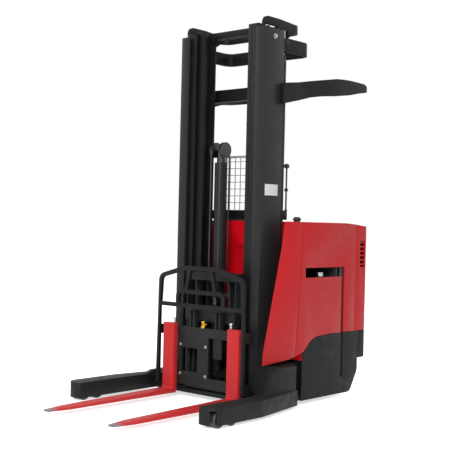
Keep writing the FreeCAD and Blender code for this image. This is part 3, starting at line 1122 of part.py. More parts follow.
# Wire screen behind the mast.
mesh_y = "(wall_y + 40)"
wires = []
across = int(2 * measure("mesh_half") / measure("mesh_pitch")) - 1
upward = int((measure("mesh_high") - measure("mesh_low")) / measure("mesh_pitch"))
for index in range(across):
    place = "(index_x - mesh_half)".replace("index_x", "%d * mesh_pitch" % (index + 1))
    wires.append(block("wire_up_%d" % index, (place, place + " + mesh_wire"), (mesh_y, mesh_y + " + mesh_wire"),
                       ("mesh_low + 1", "mesh_high - 1")))
for index in range(upward):
    place = "(mesh_low + %d * mesh_pitch)" % (index + 1)
    wires.append(block("wire_across_%d" % index, ("1 - mesh_half", "mesh_half - 1"),
                       (mesh_y + " + 2", mesh_y + " + 2 + mesh_wire"), (place, place + " + mesh_wire")))
screen_frame = prism("screen_frame", "XZ", [
    ("-mesh_half", "body_top"), ("mesh_half", "body_top"), ("mesh_half", "mesh_high"), ("-mesh_half", "mesh_high")],
    (mesh_y + " - 4", mesh_y + " + 12"), [[
        ("mesh_frame - mesh_half", "mesh_low"), ("mesh_half - mesh_frame", "mesh_low"),
        ("mesh_half - mesh_frame", "mesh_high - mesh_frame"), ("mesh_frame - mesh_half", "mesh_high - mesh_frame")]])
node("wire_screen", joined("screen_parts", [screen_frame] + wires))

doc.recompute()
for thing in doc.Objects:
    if "Invalid" in thing.State or "Error" in thing.State:
        raise RuntimeError("%s is %s" % (thing.Name, thing.State))
for thing in NODES:
    if thing.Shape.isNull() or not thing.Shape.isValid():
        raise RuntimeError("%s has no valid shape" % thing.Label)

os.makedirs("parts", exist_ok=True)
for thing in NODES:
    thing.Shape.exportStep(os.path.join("parts", thing.Label + ".step"))
    print(thing.Label, len(thing.Shape.Solids), "solids", round(thing.Shape.Volume / 1e6, 3), "litres")
print(len(NODES), "nodes")
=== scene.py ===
# %% [markdown]
# # A stand-up reach truck
# The truck is a three-stage mast with a scissor reach carriage in front of a red body,
# carried on two legs, a steered drive wheel and a caster. Its solids are already packed as a
# fixed frame. This lesson gives each of them its finish, rounds the edges that catch the
# light, and adds the small things that a solid model leaves out.

# %% Load the fixed frame
import json
import math

import bpy
from mathutils import Matrix, Vector

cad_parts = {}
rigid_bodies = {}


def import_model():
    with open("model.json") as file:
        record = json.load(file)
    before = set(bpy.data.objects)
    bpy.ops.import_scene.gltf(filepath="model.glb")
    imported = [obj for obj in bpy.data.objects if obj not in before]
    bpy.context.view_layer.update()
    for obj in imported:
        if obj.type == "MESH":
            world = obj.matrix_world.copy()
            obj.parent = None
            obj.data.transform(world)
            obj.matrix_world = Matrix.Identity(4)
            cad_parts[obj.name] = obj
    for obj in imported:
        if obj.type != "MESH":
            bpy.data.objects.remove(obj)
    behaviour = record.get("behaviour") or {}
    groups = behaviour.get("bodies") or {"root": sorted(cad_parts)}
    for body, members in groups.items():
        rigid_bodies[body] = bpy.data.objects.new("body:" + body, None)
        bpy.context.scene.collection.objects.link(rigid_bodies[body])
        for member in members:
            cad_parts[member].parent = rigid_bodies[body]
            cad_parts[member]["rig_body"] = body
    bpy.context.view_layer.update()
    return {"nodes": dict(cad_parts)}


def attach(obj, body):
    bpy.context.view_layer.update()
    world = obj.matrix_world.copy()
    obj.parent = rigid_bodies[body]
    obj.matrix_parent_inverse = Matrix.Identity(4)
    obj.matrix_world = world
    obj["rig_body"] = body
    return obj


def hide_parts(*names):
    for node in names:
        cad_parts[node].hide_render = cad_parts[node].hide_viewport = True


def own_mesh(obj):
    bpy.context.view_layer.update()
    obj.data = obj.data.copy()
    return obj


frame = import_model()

bpy.ops.object.select_all(action="DESELECT")
MM = 0.001

# %% [markdown]
# ## The camera
# The photograph was taken from the front left, level with the truck's waist. Two upright
# edges lean by about a degree, so the camera is rolled by that much. A long lens keeps the
# mast's sides almost parallel, which is why the camera stands more than six metres away.

# %% Camera
CAMERA_PLACE = (4.456, -4.868, 1.217)
CAMERA_YAW = math.radians(41.62)
CAMERA_ROLL = math.radians(1.33)
CAMERA_LENS = 76.4

bpy.ops.object.camera_add()
camera = bpy.context.object
camera.name = "photo_camera"
turn = Matrix.Rotation(CAMERA_YAW, 4, "Z") @ Matrix.Rotation(math.pi / 2, 4, "X")
camera.matrix_world = Matrix.Translation(CAMERA_PLACE) @ turn @ Matrix.Rotation(CAMERA_ROLL, 4, "Z")
camera.data.lens = CAMERA_LENS
camera.data.sensor_width = 36
camera.data.clip_end = 200
bpy.context.scene.camera = camera
bpy.context.scene.view_settings.view_transform = "Standard"
print("camera at", CAMERA_PLACE, "with a", CAMERA_LENS, "mm lens")

# %% [markdown]
# ## Colour and shader helpers
# Paint charts and photographs give colours as sRGB hex values, while a shader works with
# linear light. One function turns one into the other. A second one adds a shader node with
# its settings and its inputs, so that each finish below reads as a short recipe.


# %% Helpers for finishes
def linear(code, alpha=1.0):
    """An sRGB hex colour as linear red, green, blue and alpha."""
    parts = [int(code[place:place + 2], 16) / 255 for place in (1, 3, 5)]
    return [part / 12.92 if part <= 0.04045 else ((part + 0.055) / 1.055) ** 2.4 for part in parts] + [alpha]


def put(tree, kind, settings=None, inputs=None):
    """Adds one shader node; an input is a plain value or another node's output."""
    made = tree.nodes.new("ShaderNode" + kind)
    for name, value in (settings or {}).items():
        setattr(made, name, value)
    for name, value in (inputs or {}).items():
        if isinstance(value, bpy.types.NodeSocket):
            tree.links.new(value, made.inputs[name])
        else:
            made.inputs[name].default_value = value
    return made


def start(name, **constants):
    """A new material with one shader; what is the same all over is set on its own sockets."""
    material = bpy.data.materials.new(name)
    material.use_nodes = True
    shader = material.node_tree.nodes["Principled BSDF"]
    for socket, value in constants.items():
        shader.inputs[socket.replace("_", " ")].default_value = value
    return material, material.node_tree, shader


def per_mm(size):
    """The noise scale whose pattern repeats about every so many millimetres."""
    return 1 / (size * MM)


def grain(tree, where, size, detail):
    """Noise on Object coordinates whose grain is a size in millimetres."""
    return put(tree, "TexNoise", inputs={
        "Vector": where.outputs["Object"], "Scale": per_mm(size), "Detail": detail}).outputs["Fac"]


# %% [markdown]
# ## Stage and light
# Product pictures of trucks stand on a white sheet under large soft lamps. The floor here is
# a pale plain plane, and the world shows white only to the camera and to reflections, so the
# truck itself is lit at a plain level.

# %% Stage
FLOOR_HALF = 40
FLOOR_GLOW = 0.62
AIR_LIGHT = 0.55


def seen_directly(tree):
    """1 where the camera, a reflection or a clear material looks, and 0 for light that falls on the truck."""
    rays = put(tree, "LightPath")
    seen = rays.outputs["Is Camera Ray"]
    for kind in ("Is Glossy Ray", "Is Transmission Ray"):
        seen = put(tree, "Math", {"operation": "MAXIMUM"}, {0: seen, 1: rays.outputs[kind]}).outputs[0]
    return seen


bpy.ops.mesh.primitive_plane_add(size=2 * FLOOR_HALF, location=(0, 0, 0))
floor_sheet = bpy.context.object
floor_sheet.name = "studio_floor"
paper, tree, shader = start("matt_white_paper", Roughness=0.9)
shader.inputs["Base Color"].default_value = linear("#F4F4F4")
lift = put(tree, "Math", {"operation": "MULTIPLY"}, {0: seen_directly(tree), 1: FLOOR_GLOW})
glow = put(tree, "Emission", inputs={"Color": linear("#FFFFFF"), "Strength": lift.outputs[0]})
both = put(tree, "AddShader", inputs={0: shader.outputs[0], 1: glow.outputs[0]})
tree.links.new(both.outputs[0], tree.nodes["Material Output"].inputs["Surface"])
floor_sheet.data.materials.append(paper)

world = bpy.data.worlds.new("studio")
bpy.context.scene.world = world
world.use_nodes = True
air = world.node_tree
air.nodes.clear()
soft = put(air, "Background", inputs={"Color": linear("#FFFFFF"), "Strength": AIR_LIGHT})
bright = put(air, "Background", inputs={"Color": linear("#FFFFFF"), "Strength": 1.0})
choice = put(air, "MixShader", inputs={0: seen_directly(air), 1: soft.outputs[0], 2: bright.outputs[0]})
put(air, "OutputWorld", inputs={"Surface": choice.outputs[0]})

# Lamp: name, place, aim, side in metres, watts.
LAMPS = [
    ("key_softbox", (4.4, -6.2, 4.6), (0, 0, 1.1), 3.6, 560),
    ("left_softbox", (-6.5, -0.5, 4.5), (0, 0.2, 1.0), 4.0, 120),
    ("rear_softbox", (-1.5, 7.0, 5.0), (0, 0, 1.2), 4.0, 240),
    ("edge_softbox", (5.6, 6.4, 4.6), (0.4, 0.8, 1.1), 1.6, 16),
]
for name, place, aim, side, watts in LAMPS:
    bpy.ops.object.light_add(type="AREA", location=place)
    lamp = bpy.context.object
    lamp.name = name
    lamp.data.size = side
    lamp.data.energy = watts
    lamp.rotation_euler = (Vector(aim) - Vector(place)).to_track_quat("-Z", "Y").to_euler()
print("lamps:", len(LAMPS))

# %% [markdown]
# ## Painted steel
# Nearly all of the truck is painted steel. Powder coat is baked on and flows into a skin
# with a faint orange peel, seen as soft ripples in a highlight. Dust and handling make the
# gloss uneven. Both come from noise whose grain is a real size.


# %% Finishes of paint
def coated(name, colour, worn, roughness, peel, coat, dull=0.0):
    """Paint with an uneven gloss, a slow drift of shade and a fine orange peel."""
    material, tree, shader = start(
        name, Coat_Weight=coat, Coat_Roughness=0.12, IOR=1.5, Specular_IOR_Level=0.18)
    where = put(tree, "TexCoord")
    drift = grain(tree, where, 420, 3)
    shade = put(tree, "MixRGB", {"blend_type": "MIX"}, {
        "Fac": drift, "Color1": linear(colour), "Color2": linear(worn)})
    grime = grain(tree, where, 60, 6)
    gloss = put(tree, "MapRange", inputs={
        "Value": grime, "From Min": 0.3, "From Max": 0.7,
        "To Min": roughness - 0.06, "To Max": roughness + 0.08 + dull})
    ripple = grain(tree, where, peel, 2)
    bump = put(tree, "Bump", inputs={"Height": ripple, "Strength": 0.06, "Distance": 0.001})
    tree.links.new(shade.outputs[0], shader.inputs["Base Color"])
    tree.links.new(gloss.outputs[0], shader.inputs["Roughness"])
    tree.links.new(bump.outputs[0], shader.inputs["Normal"])
    return material


# Powder coat on the body: a clear deep red with a soft gloss.
body_red = coated("red_powder_coat", "#AC171B", "#A11418", 0.42, 6, 0.03)
# Enamel on the forks: the same red, brighter and rubbed.
fork_red = coated("red_fork_enamel", "#BE2A2C", "#B0262A", 0.44, 5, 0.06, 0.08)
# Satin black on the rolled mast sections.
mast_black = coated("satin_black_mast_paint", "#252527", "#1E1E1F", 0.47, 4, 0.0)
# The sliding rails are painted darker than the fixed ones.
darker_rail_black = coated("darker_black_rail_paint", "#0F0F10", "#0B0B0B", 0.42, 6, 0.0, 0.1)
# Dark grey on the carriage and the backrest.
carriage_grey = coated("dark_grey_carriage_paint", "#222425", "#1B1D1E", 0.48, 4, 0.0)
# Flat black on the heads, the guard and the backrest, which stand out darker than the rails.
flat_black = coated("flat_black_structure_paint", "#141415", "#101011", 0.54, 4, 0.0)
# Dull black on the frame and the legs.
frame_black = coated("dull_black_frame_paint", "#1B1D1E", "#151617", 0.54, 4, 0.0, 0.06)
# Textured charcoal paint on the skirts and the bumper.
skirt_grey = coated("charcoal_texture_paint", "#1A1F1D", "#161A18", 0.60, 2, 0.0, 0.04)
# The stretch in front of the cover's seam gets a brighter red: painted light for the light that falls on this
# front-facing stretch.
front_red_painted_light = coated("front_red_powder_coat_painted_light", "#AC1A1E", "#A3171B", 0.38, 6, 0.05)
# A brighter, deeper red on the wall behind the mast: painted light that lifts it out of the mast's shade.
wall_red_painted_light = coated("wall_red_powder_coat_painted_light", "#D60C1A", "#CA0A16", 0.36, 6, 0.08)
# Acid-proof enamel on the battery's case.
battery_enamel = coated("battery_case_enamel", "#1E1F22", "#18191B", 0.42, 4, 0.1)
# Bright plating on the wire screen.
wire_plate = coated("plated_wire_grey", "#A9ACAE", "#989B9E", 0.38, 3, 0.0)


RAGGED_REACH = 0.09


def rub_to_steel(material, steel, whole, bare):
    """Wears a finish down to grey steel between two places along Y, with a ragged border."""
    tree = material.node_tree
    shader = tree.nodes["Principled BSDF"]
    paint = shader.inputs["Base Color"].links[0].from_socket
    where = put(tree, "TexCoord")
    along = put(tree, "SeparateXYZ", inputs={"Vector": where.outputs["Object"]})
    ragged = grain(tree, where, 35, 5)
    border = put(tree, "Math", {"operation": "MULTIPLY_ADD"}, {
        0: ragged, 1: RAGGED_REACH, 2: along.outputs["Y"]})
    share = put(tree, "MapRange", inputs={"Value": border.outputs[0], "From Min": bare, "From Max": whole,
                                          "To Min": 1.0, "To Max": 0.0})
    blend = put(tree, "MixRGB", {"blend_type": "MIX"}, {
        "Fac": share.outputs[0], "Color1": paint, "Color2": linear(steel)})
    tree.links.new(blend.outputs[0], shader.inputs["Base Color"])


# Pallets rub the paint off the tips of the forks.
rub_to_steel(fork_red, "#7C7471", -1.03, -1.07)
print("paints made")

# %% [markdown]
# ## Bare metal, rubber and trim
# Cylinder rods are ground and hard chromed, so they mirror what is around them. Wheels have
# cast polyurethane or pressed rubber treads, and the room's trim is grained plastic.


# %% Finishes of metal, rubber and plastic
def rough_skin(name, colour, other, roughness, pore, depth, metallic=0.0):
    """A plain skin with a fine grain, for rubber, plastic and bare metal."""
    material, tree, shader = start(name, Metallic=metallic)
    where = put(tree, "TexCoord")
    drift = grain(tree, where, 80, 4)
    shade = put(tree, "MixRGB", {"blend_type": "MIX"}, {
        "Fac": drift, "Color1": linear(colour), "Color2": linear(other)})
    rub = put(tree, "MapRange", inputs={
        "Value": drift, "From Min": 0.3, "From Max": 0.7,
        "To Min": roughness - 0.05, "To Max": roughness + 0.07})
    pores = grain(tree, where, pore, 3)
    bump = put(tree, "Bump", inputs={"Height": pores, "Strength": 0.3, "Distance": depth * MM})
    tree.links.new(shade.outputs[0], shader.inputs["Base Color"])
    tree.links.new(rub.outputs[0], shader.inputs["Roughness"])
    tree.links.new(bump.outputs[0], shader.inputs["Normal"])
    return material


brass = rough_skin("cast_brass", "#C9A23C", "#A8842E", 0.3, 4, 0.05, 1.0)
zinc = rough_skin("zinc_plated_steel", "#B9BDBE", "#A2A6A8", 0.32, 3, 0.03, 1.0)
rod_chrome = rough_skin("hard_chrome_on_steel", "#C9CCCF", "#BEC1C4", 0.12, 12, 0.02, 1.0)
chain_steel = rough_skin("oiled_chain_steel", "#57585A", "#3F4042", 0.36, 5, 0.1, 1.0)
cast_tyre = rough_skin("cast_polyurethane", "#2B2A28", "#232220", 0.45, 4, 0.1)
rubber_tyre = rough_skin("pressed_rubber", "#202020", "#191919", 0.7, 3, 0.3)
label_film = rough_skin("pale_label_film", "#C9CBC9", "#B4B7B5", 0.5, 10, 0.03)
lamp_glass = rough_skin("frosted_lamp_glass", "#D5D7D6", "#C6C9C9", 0.35, 8, 0.05)
room_trim = rough_skin("grained_abs_trim", "#1D1E1F", "#171819", 0.55, 2.5, 0.25)
print("metals, rubbers and plastics made")

# %% [markdown]
# ## Rounded edges
# A pressed or sawn edge on the real truck has a radius of one to five millimetres, and that
# thin line of light is what makes it look solid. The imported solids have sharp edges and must
# not be changed, so a copy of each is merged, its flat faces are joined, and a bevel
# modifier rounds what is left.


# %% Helper that rounds a copy of a solid
def pick(piece):
    """Selects one piece alone and makes it active."""
    bpy.ops.object.select_all(action="DESELECT")
    piece.select_set(True)
    bpy.context.view_layer.objects.active = piece


def rounded(node, width, segments=2, sharp=32):
    """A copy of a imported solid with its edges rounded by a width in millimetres."""
    source = frame["nodes"][node]
    piece = bpy.data.objects.new(node + "_finished", source.data.copy())
    bpy.context.scene.collection.objects.link(piece)
    pick(piece)
    bpy.ops.mesh.customdata_custom_splitnormals_clear()
    bpy.ops.object.mode_set(mode="EDIT")
    bpy.ops.mesh.select_all(action="SELECT")
    bpy.ops.mesh.remove_doubles(threshold=0.00002)
    bpy.ops.mesh.dissolve_limited(angle_limit=math.radians(0.6))
    bpy.ops.object.mode_set(mode="OBJECT")
    bevel = piece.modifiers.new("edge_round", "BEVEL")
    bevel.width = width * MM
    bevel.segments = segments
    bevel.limit_method = "ANGLE"
    bevel.angle_limit = math.radians(sharp)
    bevel.use_clamp_overlap = True
    bevel.harden_normals = False
    bpy.ops.object.modifier_apply(modifier=bevel.name)
    bpy.ops.object.shade_smooth_by_angle(angle=math.radians(40))
    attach(piece, source["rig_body"])
    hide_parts(node)
    return piece


def finish_with(piece, material):
    """Gives a piece one material."""
    piece.data.materials.clear()
    piece.data.materials.append(material)


# Node: edge radius in millimetres, finish.
ROUNDED = {
    "fork_left": (5, fork_red), "fork_right": (5, fork_red),
    "side_cover_left": (4, body_red), "side_cover_right": (4, body_red),
    # The front wall takes the red with painted light.
    "front_wall": (3, wall_red_painted_light), "top_deck": (3, body_red),
    "rear_corner_left": (4, body_red), "rear_corner_right": (4, body_red),
    "skirt_left": (4, skirt_grey), "skirt_right": (4, skirt_grey), "rear_bumper": (8, skirt_grey),
    "drive_cover": (6, skirt_grey), "floor": (3, room_trim), "room_wall": (3, room_trim),
    "room_lining": (3, room_trim),
    "outer_rail_left": (3, mast_black), "outer_rail_right": (3, mast_black),
    "middle_rail_left": (3, darker_rail_black), "middle_rail_right": (3, darker_rail_black),
    "inner_rail_left": (3, darker_rail_black), "inner_rail_right": (3, darker_rail_black),
    "outer_crossmembers": (4, flat_black), "middle_crossmembers": (4, flat_black),
    "inner_crossmembers": (3, flat_black), "load_backrest": (6, flat_black),
    "fork_frame": (3, carriage_grey), "leg_left": (5, frame_black), "leg_right": (5, frame_black),
    "overhead_guard": (6, flat_black), "work_lamp": (5, room_trim),
    "battery": (6, battery_enamel), "chassis": (3, frame_black),
    "mast_carriage": (2, carriage_grey), "reach_carriage": (2, carriage_grey),
    "outer_arms": (2, carriage_grey), "inner_arms": (2, carriage_grey),
}
finished = {}
for node, (width, material) in ROUNDED.items():
    finished[node] = rounded(node, width)
    finish_with(finished[node], material)
print("rounded copies:", len(finished))

# %% Finishes of the solids that stay as they are
KEPT = {
    "lift_barrels": mast_black, "lift_rods": rod_chrome, "free_lift_barrel": mast_black,
    "crosshead": chain_steel, "reach_barrel": frame_black, "reach_rod": chain_steel,
    "drive_motor": frame_black, "drive_head": frame_black, "drive_wheel": rubber_tyre,
    "caster_mount": frame_black, "caster_head": frame_black, "caster_wheels": cast_tyre,
    "wire_screen": wire_plate,
}
for side in ("left", "right"):
    for row in ("front", "rear"):
        KEPT["load_wheel_%s_%s" % (side, row)] = cast_tyre
for name, piece in frame["nodes"].items():
    if name in finished:
        continue
    piece.data.materials.clear()
    piece.data.materials.append(KEPT.get(name, mast_black))
    pick(piece)
    bpy.ops.object.shade_smooth_by_angle(angle=math.radians(35))
print("kept solids:", len(KEPT))

# The short reach rod is coated with oil and dust; its eye is a forging painted with the carriage.
EYE_LOW = 0.709
rod = frame["nodes"]["reach_rod"]
rod.data.materials.append(carriage_grey)
eye_faces = [face for face in rod.data.polygons if face.center.z > EYE_LOW]
for face in eye_faces:
    face.material_index = 1
print("painted faces of the rod's eye:", len(eye_faces))

# %% [markdown]
# ## Painted light before the seam
# The cover's front stretch is a panel of its own on the real truck, turned towards the front.
# Its faces get a brighter red as painted light; they lie in front of a line that leans back from the foot to
# the top.

# %% Painted highlight on the front stretch
SEAM_FOOT = Vector((0, 0.279, 0.300))
SEAM_TOP = Vector((0, 0.336, 1.250))


def before_seam(point):
    """True for a point of the side cover that lies in front of the leaning seam."""
    share = (point.z - SEAM_FOOT.z) / (SEAM_TOP.z - SEAM_FOOT.z)
    return point.y < SEAM_FOOT.y + share * (SEAM_TOP.y - SEAM_FOOT.y)


cover = finished["side_cover_left"]
# The faces before the seam take the brighter red, which is painted light.
cover.data.materials.append(front_red_painted_light)
faces_with_painted_light = [face for face in cover.data.polygons if before_seam(face.center)]
for face in faces_with_painted_light:
    face.material_index = 1
print("faces before the seam:", len(faces_with_painted_light))

# %% [markdown]
# ## Small parts: how each is made
# Blocks start as a cube and turned parts as a cylinder. In edit mode each is stretched, turned
# and moved to its place, so that the finished object stays at the origin. A bevel modifier
# then breaks its edges, because no edge on the truck is sharp.


# %% Helpers for small parts
def named(name):
    """The piece that was just added, under its own name."""
    piece = bpy.context.object
    piece.name = name
    return piece


def broken(piece, edge, segments=2):
    """Rounds a piece's edges by a width in millimetres and smooths its curved faces."""
    bevel = piece.modifiers.new("edge_round", "BEVEL")
    bevel.width = edge * MM
    bevel.segments = segments
    bevel.limit_method = "ANGLE"
    bevel.angle_limit = math.radians(40)
    bpy.ops.object.modifier_apply(modifier=bevel.name)
    bpy.ops.object.shade_smooth_by_angle(angle=math.radians(35))
    return piece


def slab(name, low, high, edge, segments=2):
    """A block between two corners in millimetres."""
    bpy.ops.object.select_all(action="DESELECT")
    bpy.ops.mesh.primitive_cube_add(size=1, location=(0, 0, 0))
    piece = named(name)
    bpy.ops.object.mode_set(mode="EDIT")
    bpy.ops.mesh.select_all(action="SELECT")
    bpy.ops.transform.resize(value=[(b - a) * MM for a, b in zip(low, high)], center_override=(0, 0, 0))
    bpy.ops.transform.translate(value=[(a + b) / 2 * MM for a, b in zip(low, high)])
    bpy.ops.object.mode_set(mode="OBJECT")
    return broken(piece, edge, segments)


def bar(name, axis, centre, ends, radius, edge, sides=32):
    """A turned part along an axis; centre gives the other two places in order, in millimetres."""
    places = dict(zip([letter for letter in "XYZ" if letter != axis], centre))
    places[axis] = (ends[0] + ends[1]) / 2
    bpy.ops.object.select_all(action="DESELECT")
    bpy.ops.mesh.primitive_cylinder_add(
        vertices=sides, radius=radius * MM, depth=(ends[1] - ends[0]) * MM, location=(0, 0, 0))
    piece = named(name)
    bpy.ops.object.mode_set(mode="EDIT")
    bpy.ops.mesh.select_all(action="SELECT")
    if axis != "Z":
        bpy.ops.transform.rotate(value=math.pi / 2, orient_axis="Y" if axis == "X" else "X",
                                 center_override=(0, 0, 0))
    bpy.ops.transform.translate(value=[places[letter] * MM for letter in "XYZ"])
    bpy.ops.object.mode_set(mode="OBJECT")
    return broken(piece, edge)


def together(name, pieces):
    """Joins pieces into the first one."""
    bpy.ops.object.select_all(action="DESELECT")
    for piece in pieces:
        piece.select_set(True)
    bpy.context.view_layer.objects.active = pieces[0]
    bpy.ops.object.join()
    pieces[0].name = name
    return pieces[0]


def repeated(piece, count, step):
    """A row of one piece, each a step in metres from the last."""
    pick(piece)
    row = piece.modifiers.new("row", "ARRAY")
    row.count = count
    row.use_relative_offset = False
    row.use_constant_offset = True
    row.constant_offset_displace = step
    bpy.ops.object.modifier_apply(modifier=row.name)
    return piece


def fitted(piece, material, body):
    """Gives a small part its finish and the body that it rides on."""
    finish_with(piece, material)
    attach(piece, body)
    return piece


# Washer thickness in millimetres; washer radius and head height as shares of the head's radius.
WASHER_THICK = 2
WASHER_SHARE = 1.35
HEAD_SHARE = 0.8


def bolt(name, axis, centre, seat, out, radius):
    """A hexagon head on a washer; seat is the face that it stands on, out its direction."""
    washer_top = seat + out * WASHER_THICK
    head_top = washer_top + out * radius * HEAD_SHARE
    washer = bar(name + "_washer", axis, centre, sorted((seat, washer_top)), radius * WASHER_SHARE, 0.5, 24)
    head = bar(name + "_head", axis, centre, sorted((washer_top, head_top)), radius, 1.0, 6)
    return together(name, [washer, head])


# %% [markdown]
# ## Mast and carriage fittings
# A bright roller pin and a rubber plug show on the head of each outer rail, and a blank label
# is stuck to the left one. A brass valve sits on the fork frame's top bar, and a plated pin
# locks each fork in its notch.

# %% Mast and carriage fittings
RAIL_FACE = 385
for side, sign in (("left", 1), ("right", -1)):
    roller_pin = bolt("roller_pin_" + side, "X", (183, 2507), sign * RAIL_FACE, sign, 13)
    fitted(roller_pin, zinc, "chassis")
    plug_ends = sorted((sign * RAIL_FACE, sign * (RAIL_FACE + 4)))
    plug = bar("arch_plug_" + side, "X", (321, 2484), plug_ends, 13, 1.5)
    fitted(plug, rubber_tyre, "chassis")
    pin = bar("fork_pin_" + side, "Z", (sign * 264, -64), (521, 549), 9, 1.5)
    knob = bar("fork_pin_knob_" + side, "Z", (sign * 264, -64), (545, 563), 14, 4)
    fitted(together("fork_lock_pin_" + side, [pin, knob]), zinc, "fork_frame")
valve = [
    bar("valve_hexagon", "Z", (-22, -27), (501, 520), 21, 2, 6),
    bar("valve_stem", "Z", (-22, -27), (518, 540), 13, 2),
    bar("valve_cap", "Z", (-22, -27), (537, 550), 17, 3),
    bar("valve_port", "X", (-27, 528), (-22, 12), 9, 1.5, 24),
]
fitted(together("carriage_valve", valve), brass, "fork_frame")

# Bolt on the fork frame: along X, height.
FRAME_BOLTS = [(-222, 172), (-222, 376), (18, 172), (18, 376)]
for index, (along, height) in enumerate(FRAME_BOLTS):
    fitted(bolt("frame_bolt_%d" % index, "Y", (along, height), -43, -1, 8), zinc, "fork_frame")
print("mast and carriage fittings made")

label = slab("blank_label", (RAIL_FACE - 0.5, 108, 1424), (RAIL_FACE + 1.2, 246, 1500), 0.6)
fitted(label, label_film, "chassis")

# %% [markdown]
# ## Free lift chains
# Two leaf chains hang over the pulleys of the crosshead. In front they hold up the carriage,
# and behind they are anchored at the foot of the inner rails. As the crosshead rises, chain
# passes over the pulley: the front run shortens, and the rear run grows by the length that
# was level with the pulley at rest.

# %% Free lift chains
CHAIN_PITCH = 19
PULLEY_HEIGHT = 1750
CARRIAGE_ANCHOR = 565
FOOT_ANCHOR = 130
CROSSHEAD_STROKE = 745
# Right faces of a link's three plates from the chain's middle, and where they start and end in a pitch.
PLATE_RIGHTS = (-5.0, -1.3, 2.4)
PLATE_SHARE = (0.02, 0.94)
PLATE_THICK = 2.6
PIN_HALF = 5.6
CORE_HALF = 4.6
CORE_IN = 0.9


def chain(name, across, front, rear, low, high):
    """A leaf chain that runs straight up: stacked link plates on pins, one link repeated."""
    links = round((high - low) / CHAIN_PITCH)
    pitch = (high - low) / links
    plate_low = low + PLATE_SHARE[0] * pitch
    plate_high = low + PLATE_SHARE[1] * pitch
    pieces = []
    for right in PLATE_RIGHTS:
        pieces.append(slab("link_plate", (across + right, front, plate_low),
                           (across + right + PLATE_THICK, rear, plate_high), 0.6, 1))
    pin_ends = (across - PIN_HALF, across + PIN_HALF)
    pieces.append(bar("link_pin", "X", ((front + rear) / 2, low + 0.5 * pitch), pin_ends, 1.9, 0.4, 10))
    pieces.append(slab("joining_plate", (across - CORE_HALF, front + CORE_IN, low),
                       (across + CORE_HALF, rear - CORE_IN, low + pitch), 0.4, 1))
    return repeated(together(name, pieces), links, (0, 0, pitch * MM))


FRONT_RUN = (147.6, 152.6)
REAR_RUN = (245.0, 251.0)
for side, across in (("left", -62), ("right", -148)):
    front_run = chain("lift_chain_front_" + side, across, *FRONT_RUN, CARRIAGE_ANCHOR, PULLEY_HEIGHT)
    fitted(front_run, chain_steel, "crosshead")
    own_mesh(front_run)
    foot_run = chain("lift_chain_foot_" + side, across, *REAR_RUN, FOOT_ANCHOR, PULLEY_HEIGHT - 5)
    fitted(foot_run, chain_steel, "mast_inner")
    paid_out = chain("lift_chain_rear_" + side, across, REAR_RUN[0] + 0.4, REAR_RUN[1] - 0.4,
                     PULLEY_HEIGHT - CROSSHEAD_STROKE, PULLEY_HEIGHT)
    fitted(paid_out, chain_steel, "crosshead")
print("lift chains made")

# %% [markdown]
# ## Post, filler cap and latch
# A thin post with two clamps stands on the waist crossmember. The battery's filler cap stands
# on the top deck, and a latch sits in the hand slot. Dark sheets close the upright slits.

# %% Body fittings
POST_X, POST_Y = 367, 365
post = [
    bar("post_rod", "Z", (POST_X, POST_Y), (1326, 1652), 6, 1.5, 20),
    bar("post_foot", "Z", (POST_X, POST_Y), (1325, 1334), 11, 2, 24),
    bar("post_clamp_high", "Y", (POST_X, 1635), (POST_Y - 12, POST_Y + 12), 17, 4),
    bar("post_clamp_low", "Y", (POST_X, 1470), (POST_Y - 9, POST_Y + 9), 12, 3),
]
fitted(together("hose_post", post), rubber_tyre, "chassis")
cap = [
    bar("cap_neck", "Z", (430, 413), (1249, 1262), 23, 1.5),
    bar("cap_lid", "Z", (430, 413), (1259, 1277), 28, 4, 24),
    slab("cap_grip", (408, 408, 1272), (452, 418, 1284), 3),
]
fitted(together("filler_cap", cap), rubber_tyre, "chassis")
for side, sign in (("left", 1), ("right", -1)):
    sheet_x = sorted((sign * 522, sign * 527.6))
    fitted(slab("slit_sheet_" + side, (sheet_x[0], 798, 120), (sheet_x[1], 862, 940), 1),
           room_trim, "chassis")
    tongue_x = sorted((sign * 502, sign * 524))
    fitted(slab("slot_latch_" + side, (tongue_x[0], 556, 869), (tongue_x[1], 606, 902), 4, 3),
           zinc, "chassis")
lens = slab("lamp_lens", (-4, 376, 1940), (84, 444, 1947), 2.5, 3)
fitted(lens, lamp_glass, "chassis")
print("body fittings made")

# %% [markdown]
# ## The operator's room
# The room is lined with moulded trim. A console with a small steering wheel and a control
# handle faces the operator, a moulded panel is at the left hand, and a ribbed mat lies on the
# floor.

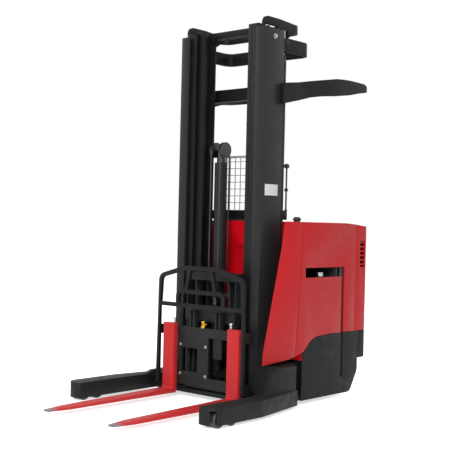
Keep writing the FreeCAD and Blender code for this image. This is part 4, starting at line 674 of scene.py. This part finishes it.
# %% The operator's room
ROOM = {"right": -110, "left": 400, "front": 773, "rear": 1153, "floor": 265, "top": 1250}
console = [
    slab("console_body", (ROOM["right"] + 4, ROOM["front"], 1000), (ROOM["left"] - 4, 898, 1204), 14, 4),
    slab("console_lip", (ROOM["right"] + 4, ROOM["front"], 1190), (ROOM["left"] - 4, 794, 1247), 6, 3),
    slab("console_shroud", (40, 788, 1196), (180, 852, 1236), 10, 3),
]
fitted(together("operator_console", console), room_trim, "chassis")
wheel = [
    bar("wheel_column", "Z", (290, 850), (1200, 1222), 22, 3),
    bar("wheel_dish", "Z", (290, 850), (1216, 1226), 82, 4, 48),
]
bpy.ops.object.select_all(action="DESELECT")
bpy.ops.mesh.primitive_torus_add(major_segments=48, minor_segments=14, major_radius=0.080, minor_radius=0.010,
                                 location=(0, 0, 0))
rim = named("wheel_rim")
bpy.ops.object.mode_set(mode="EDIT")
bpy.ops.mesh.select_all(action="SELECT")
bpy.ops.transform.translate(value=(0.290, 0.850, 1.228))
bpy.ops.object.mode_set(mode="OBJECT")
bpy.ops.object.shade_smooth()
wheel += [rim, bar("wheel_knob", "Z", (290 + 62, 850), (1222, 1247), 15, 6)]
fitted(together("steering_wheel", wheel), rubber_tyre, "chassis")
handle = [
    bar("handle_boot", "Z", (10, 850), (1200, 1216), 30, 6),
    bar("handle_grip", "Z", (10, 850), (1210, 1248), 19, 8),
]
fitted(together("control_handle", handle), rubber_tyre, "chassis")
panel = slab("side_panel", (ROOM["left"] - 36, 850, 760), (ROOM["left"], 1104, 1130), 16, 5)
fitted(panel, room_trim, "chassis")

# Ribs of the floor mat, one slab repeated across the floor and then joined to the sheet.
MAT = {"right": -100, "left": 390, "front": 792, "rear": 1136}
RIB_COUNT = 23
RIB_STEP = 20.5
mat = slab("floor_mat", (MAT["right"], MAT["front"], ROOM["floor"]),
           (MAT["left"], MAT["rear"], ROOM["floor"] + 4), 1.5)
rib = slab("mat_rib", (MAT["right"] + 14, MAT["front"] + 14, ROOM["floor"] + 3),
           (MAT["right"] + 24, MAT["rear"] - 14, ROOM["floor"] + 7), 1.5)
rib = repeated(rib, RIB_COUNT, (RIB_STEP * MM, 0, 0))
fitted(together("floor_mat", [mat, rib]), rubber_tyre, "chassis")
print("operator's room made")
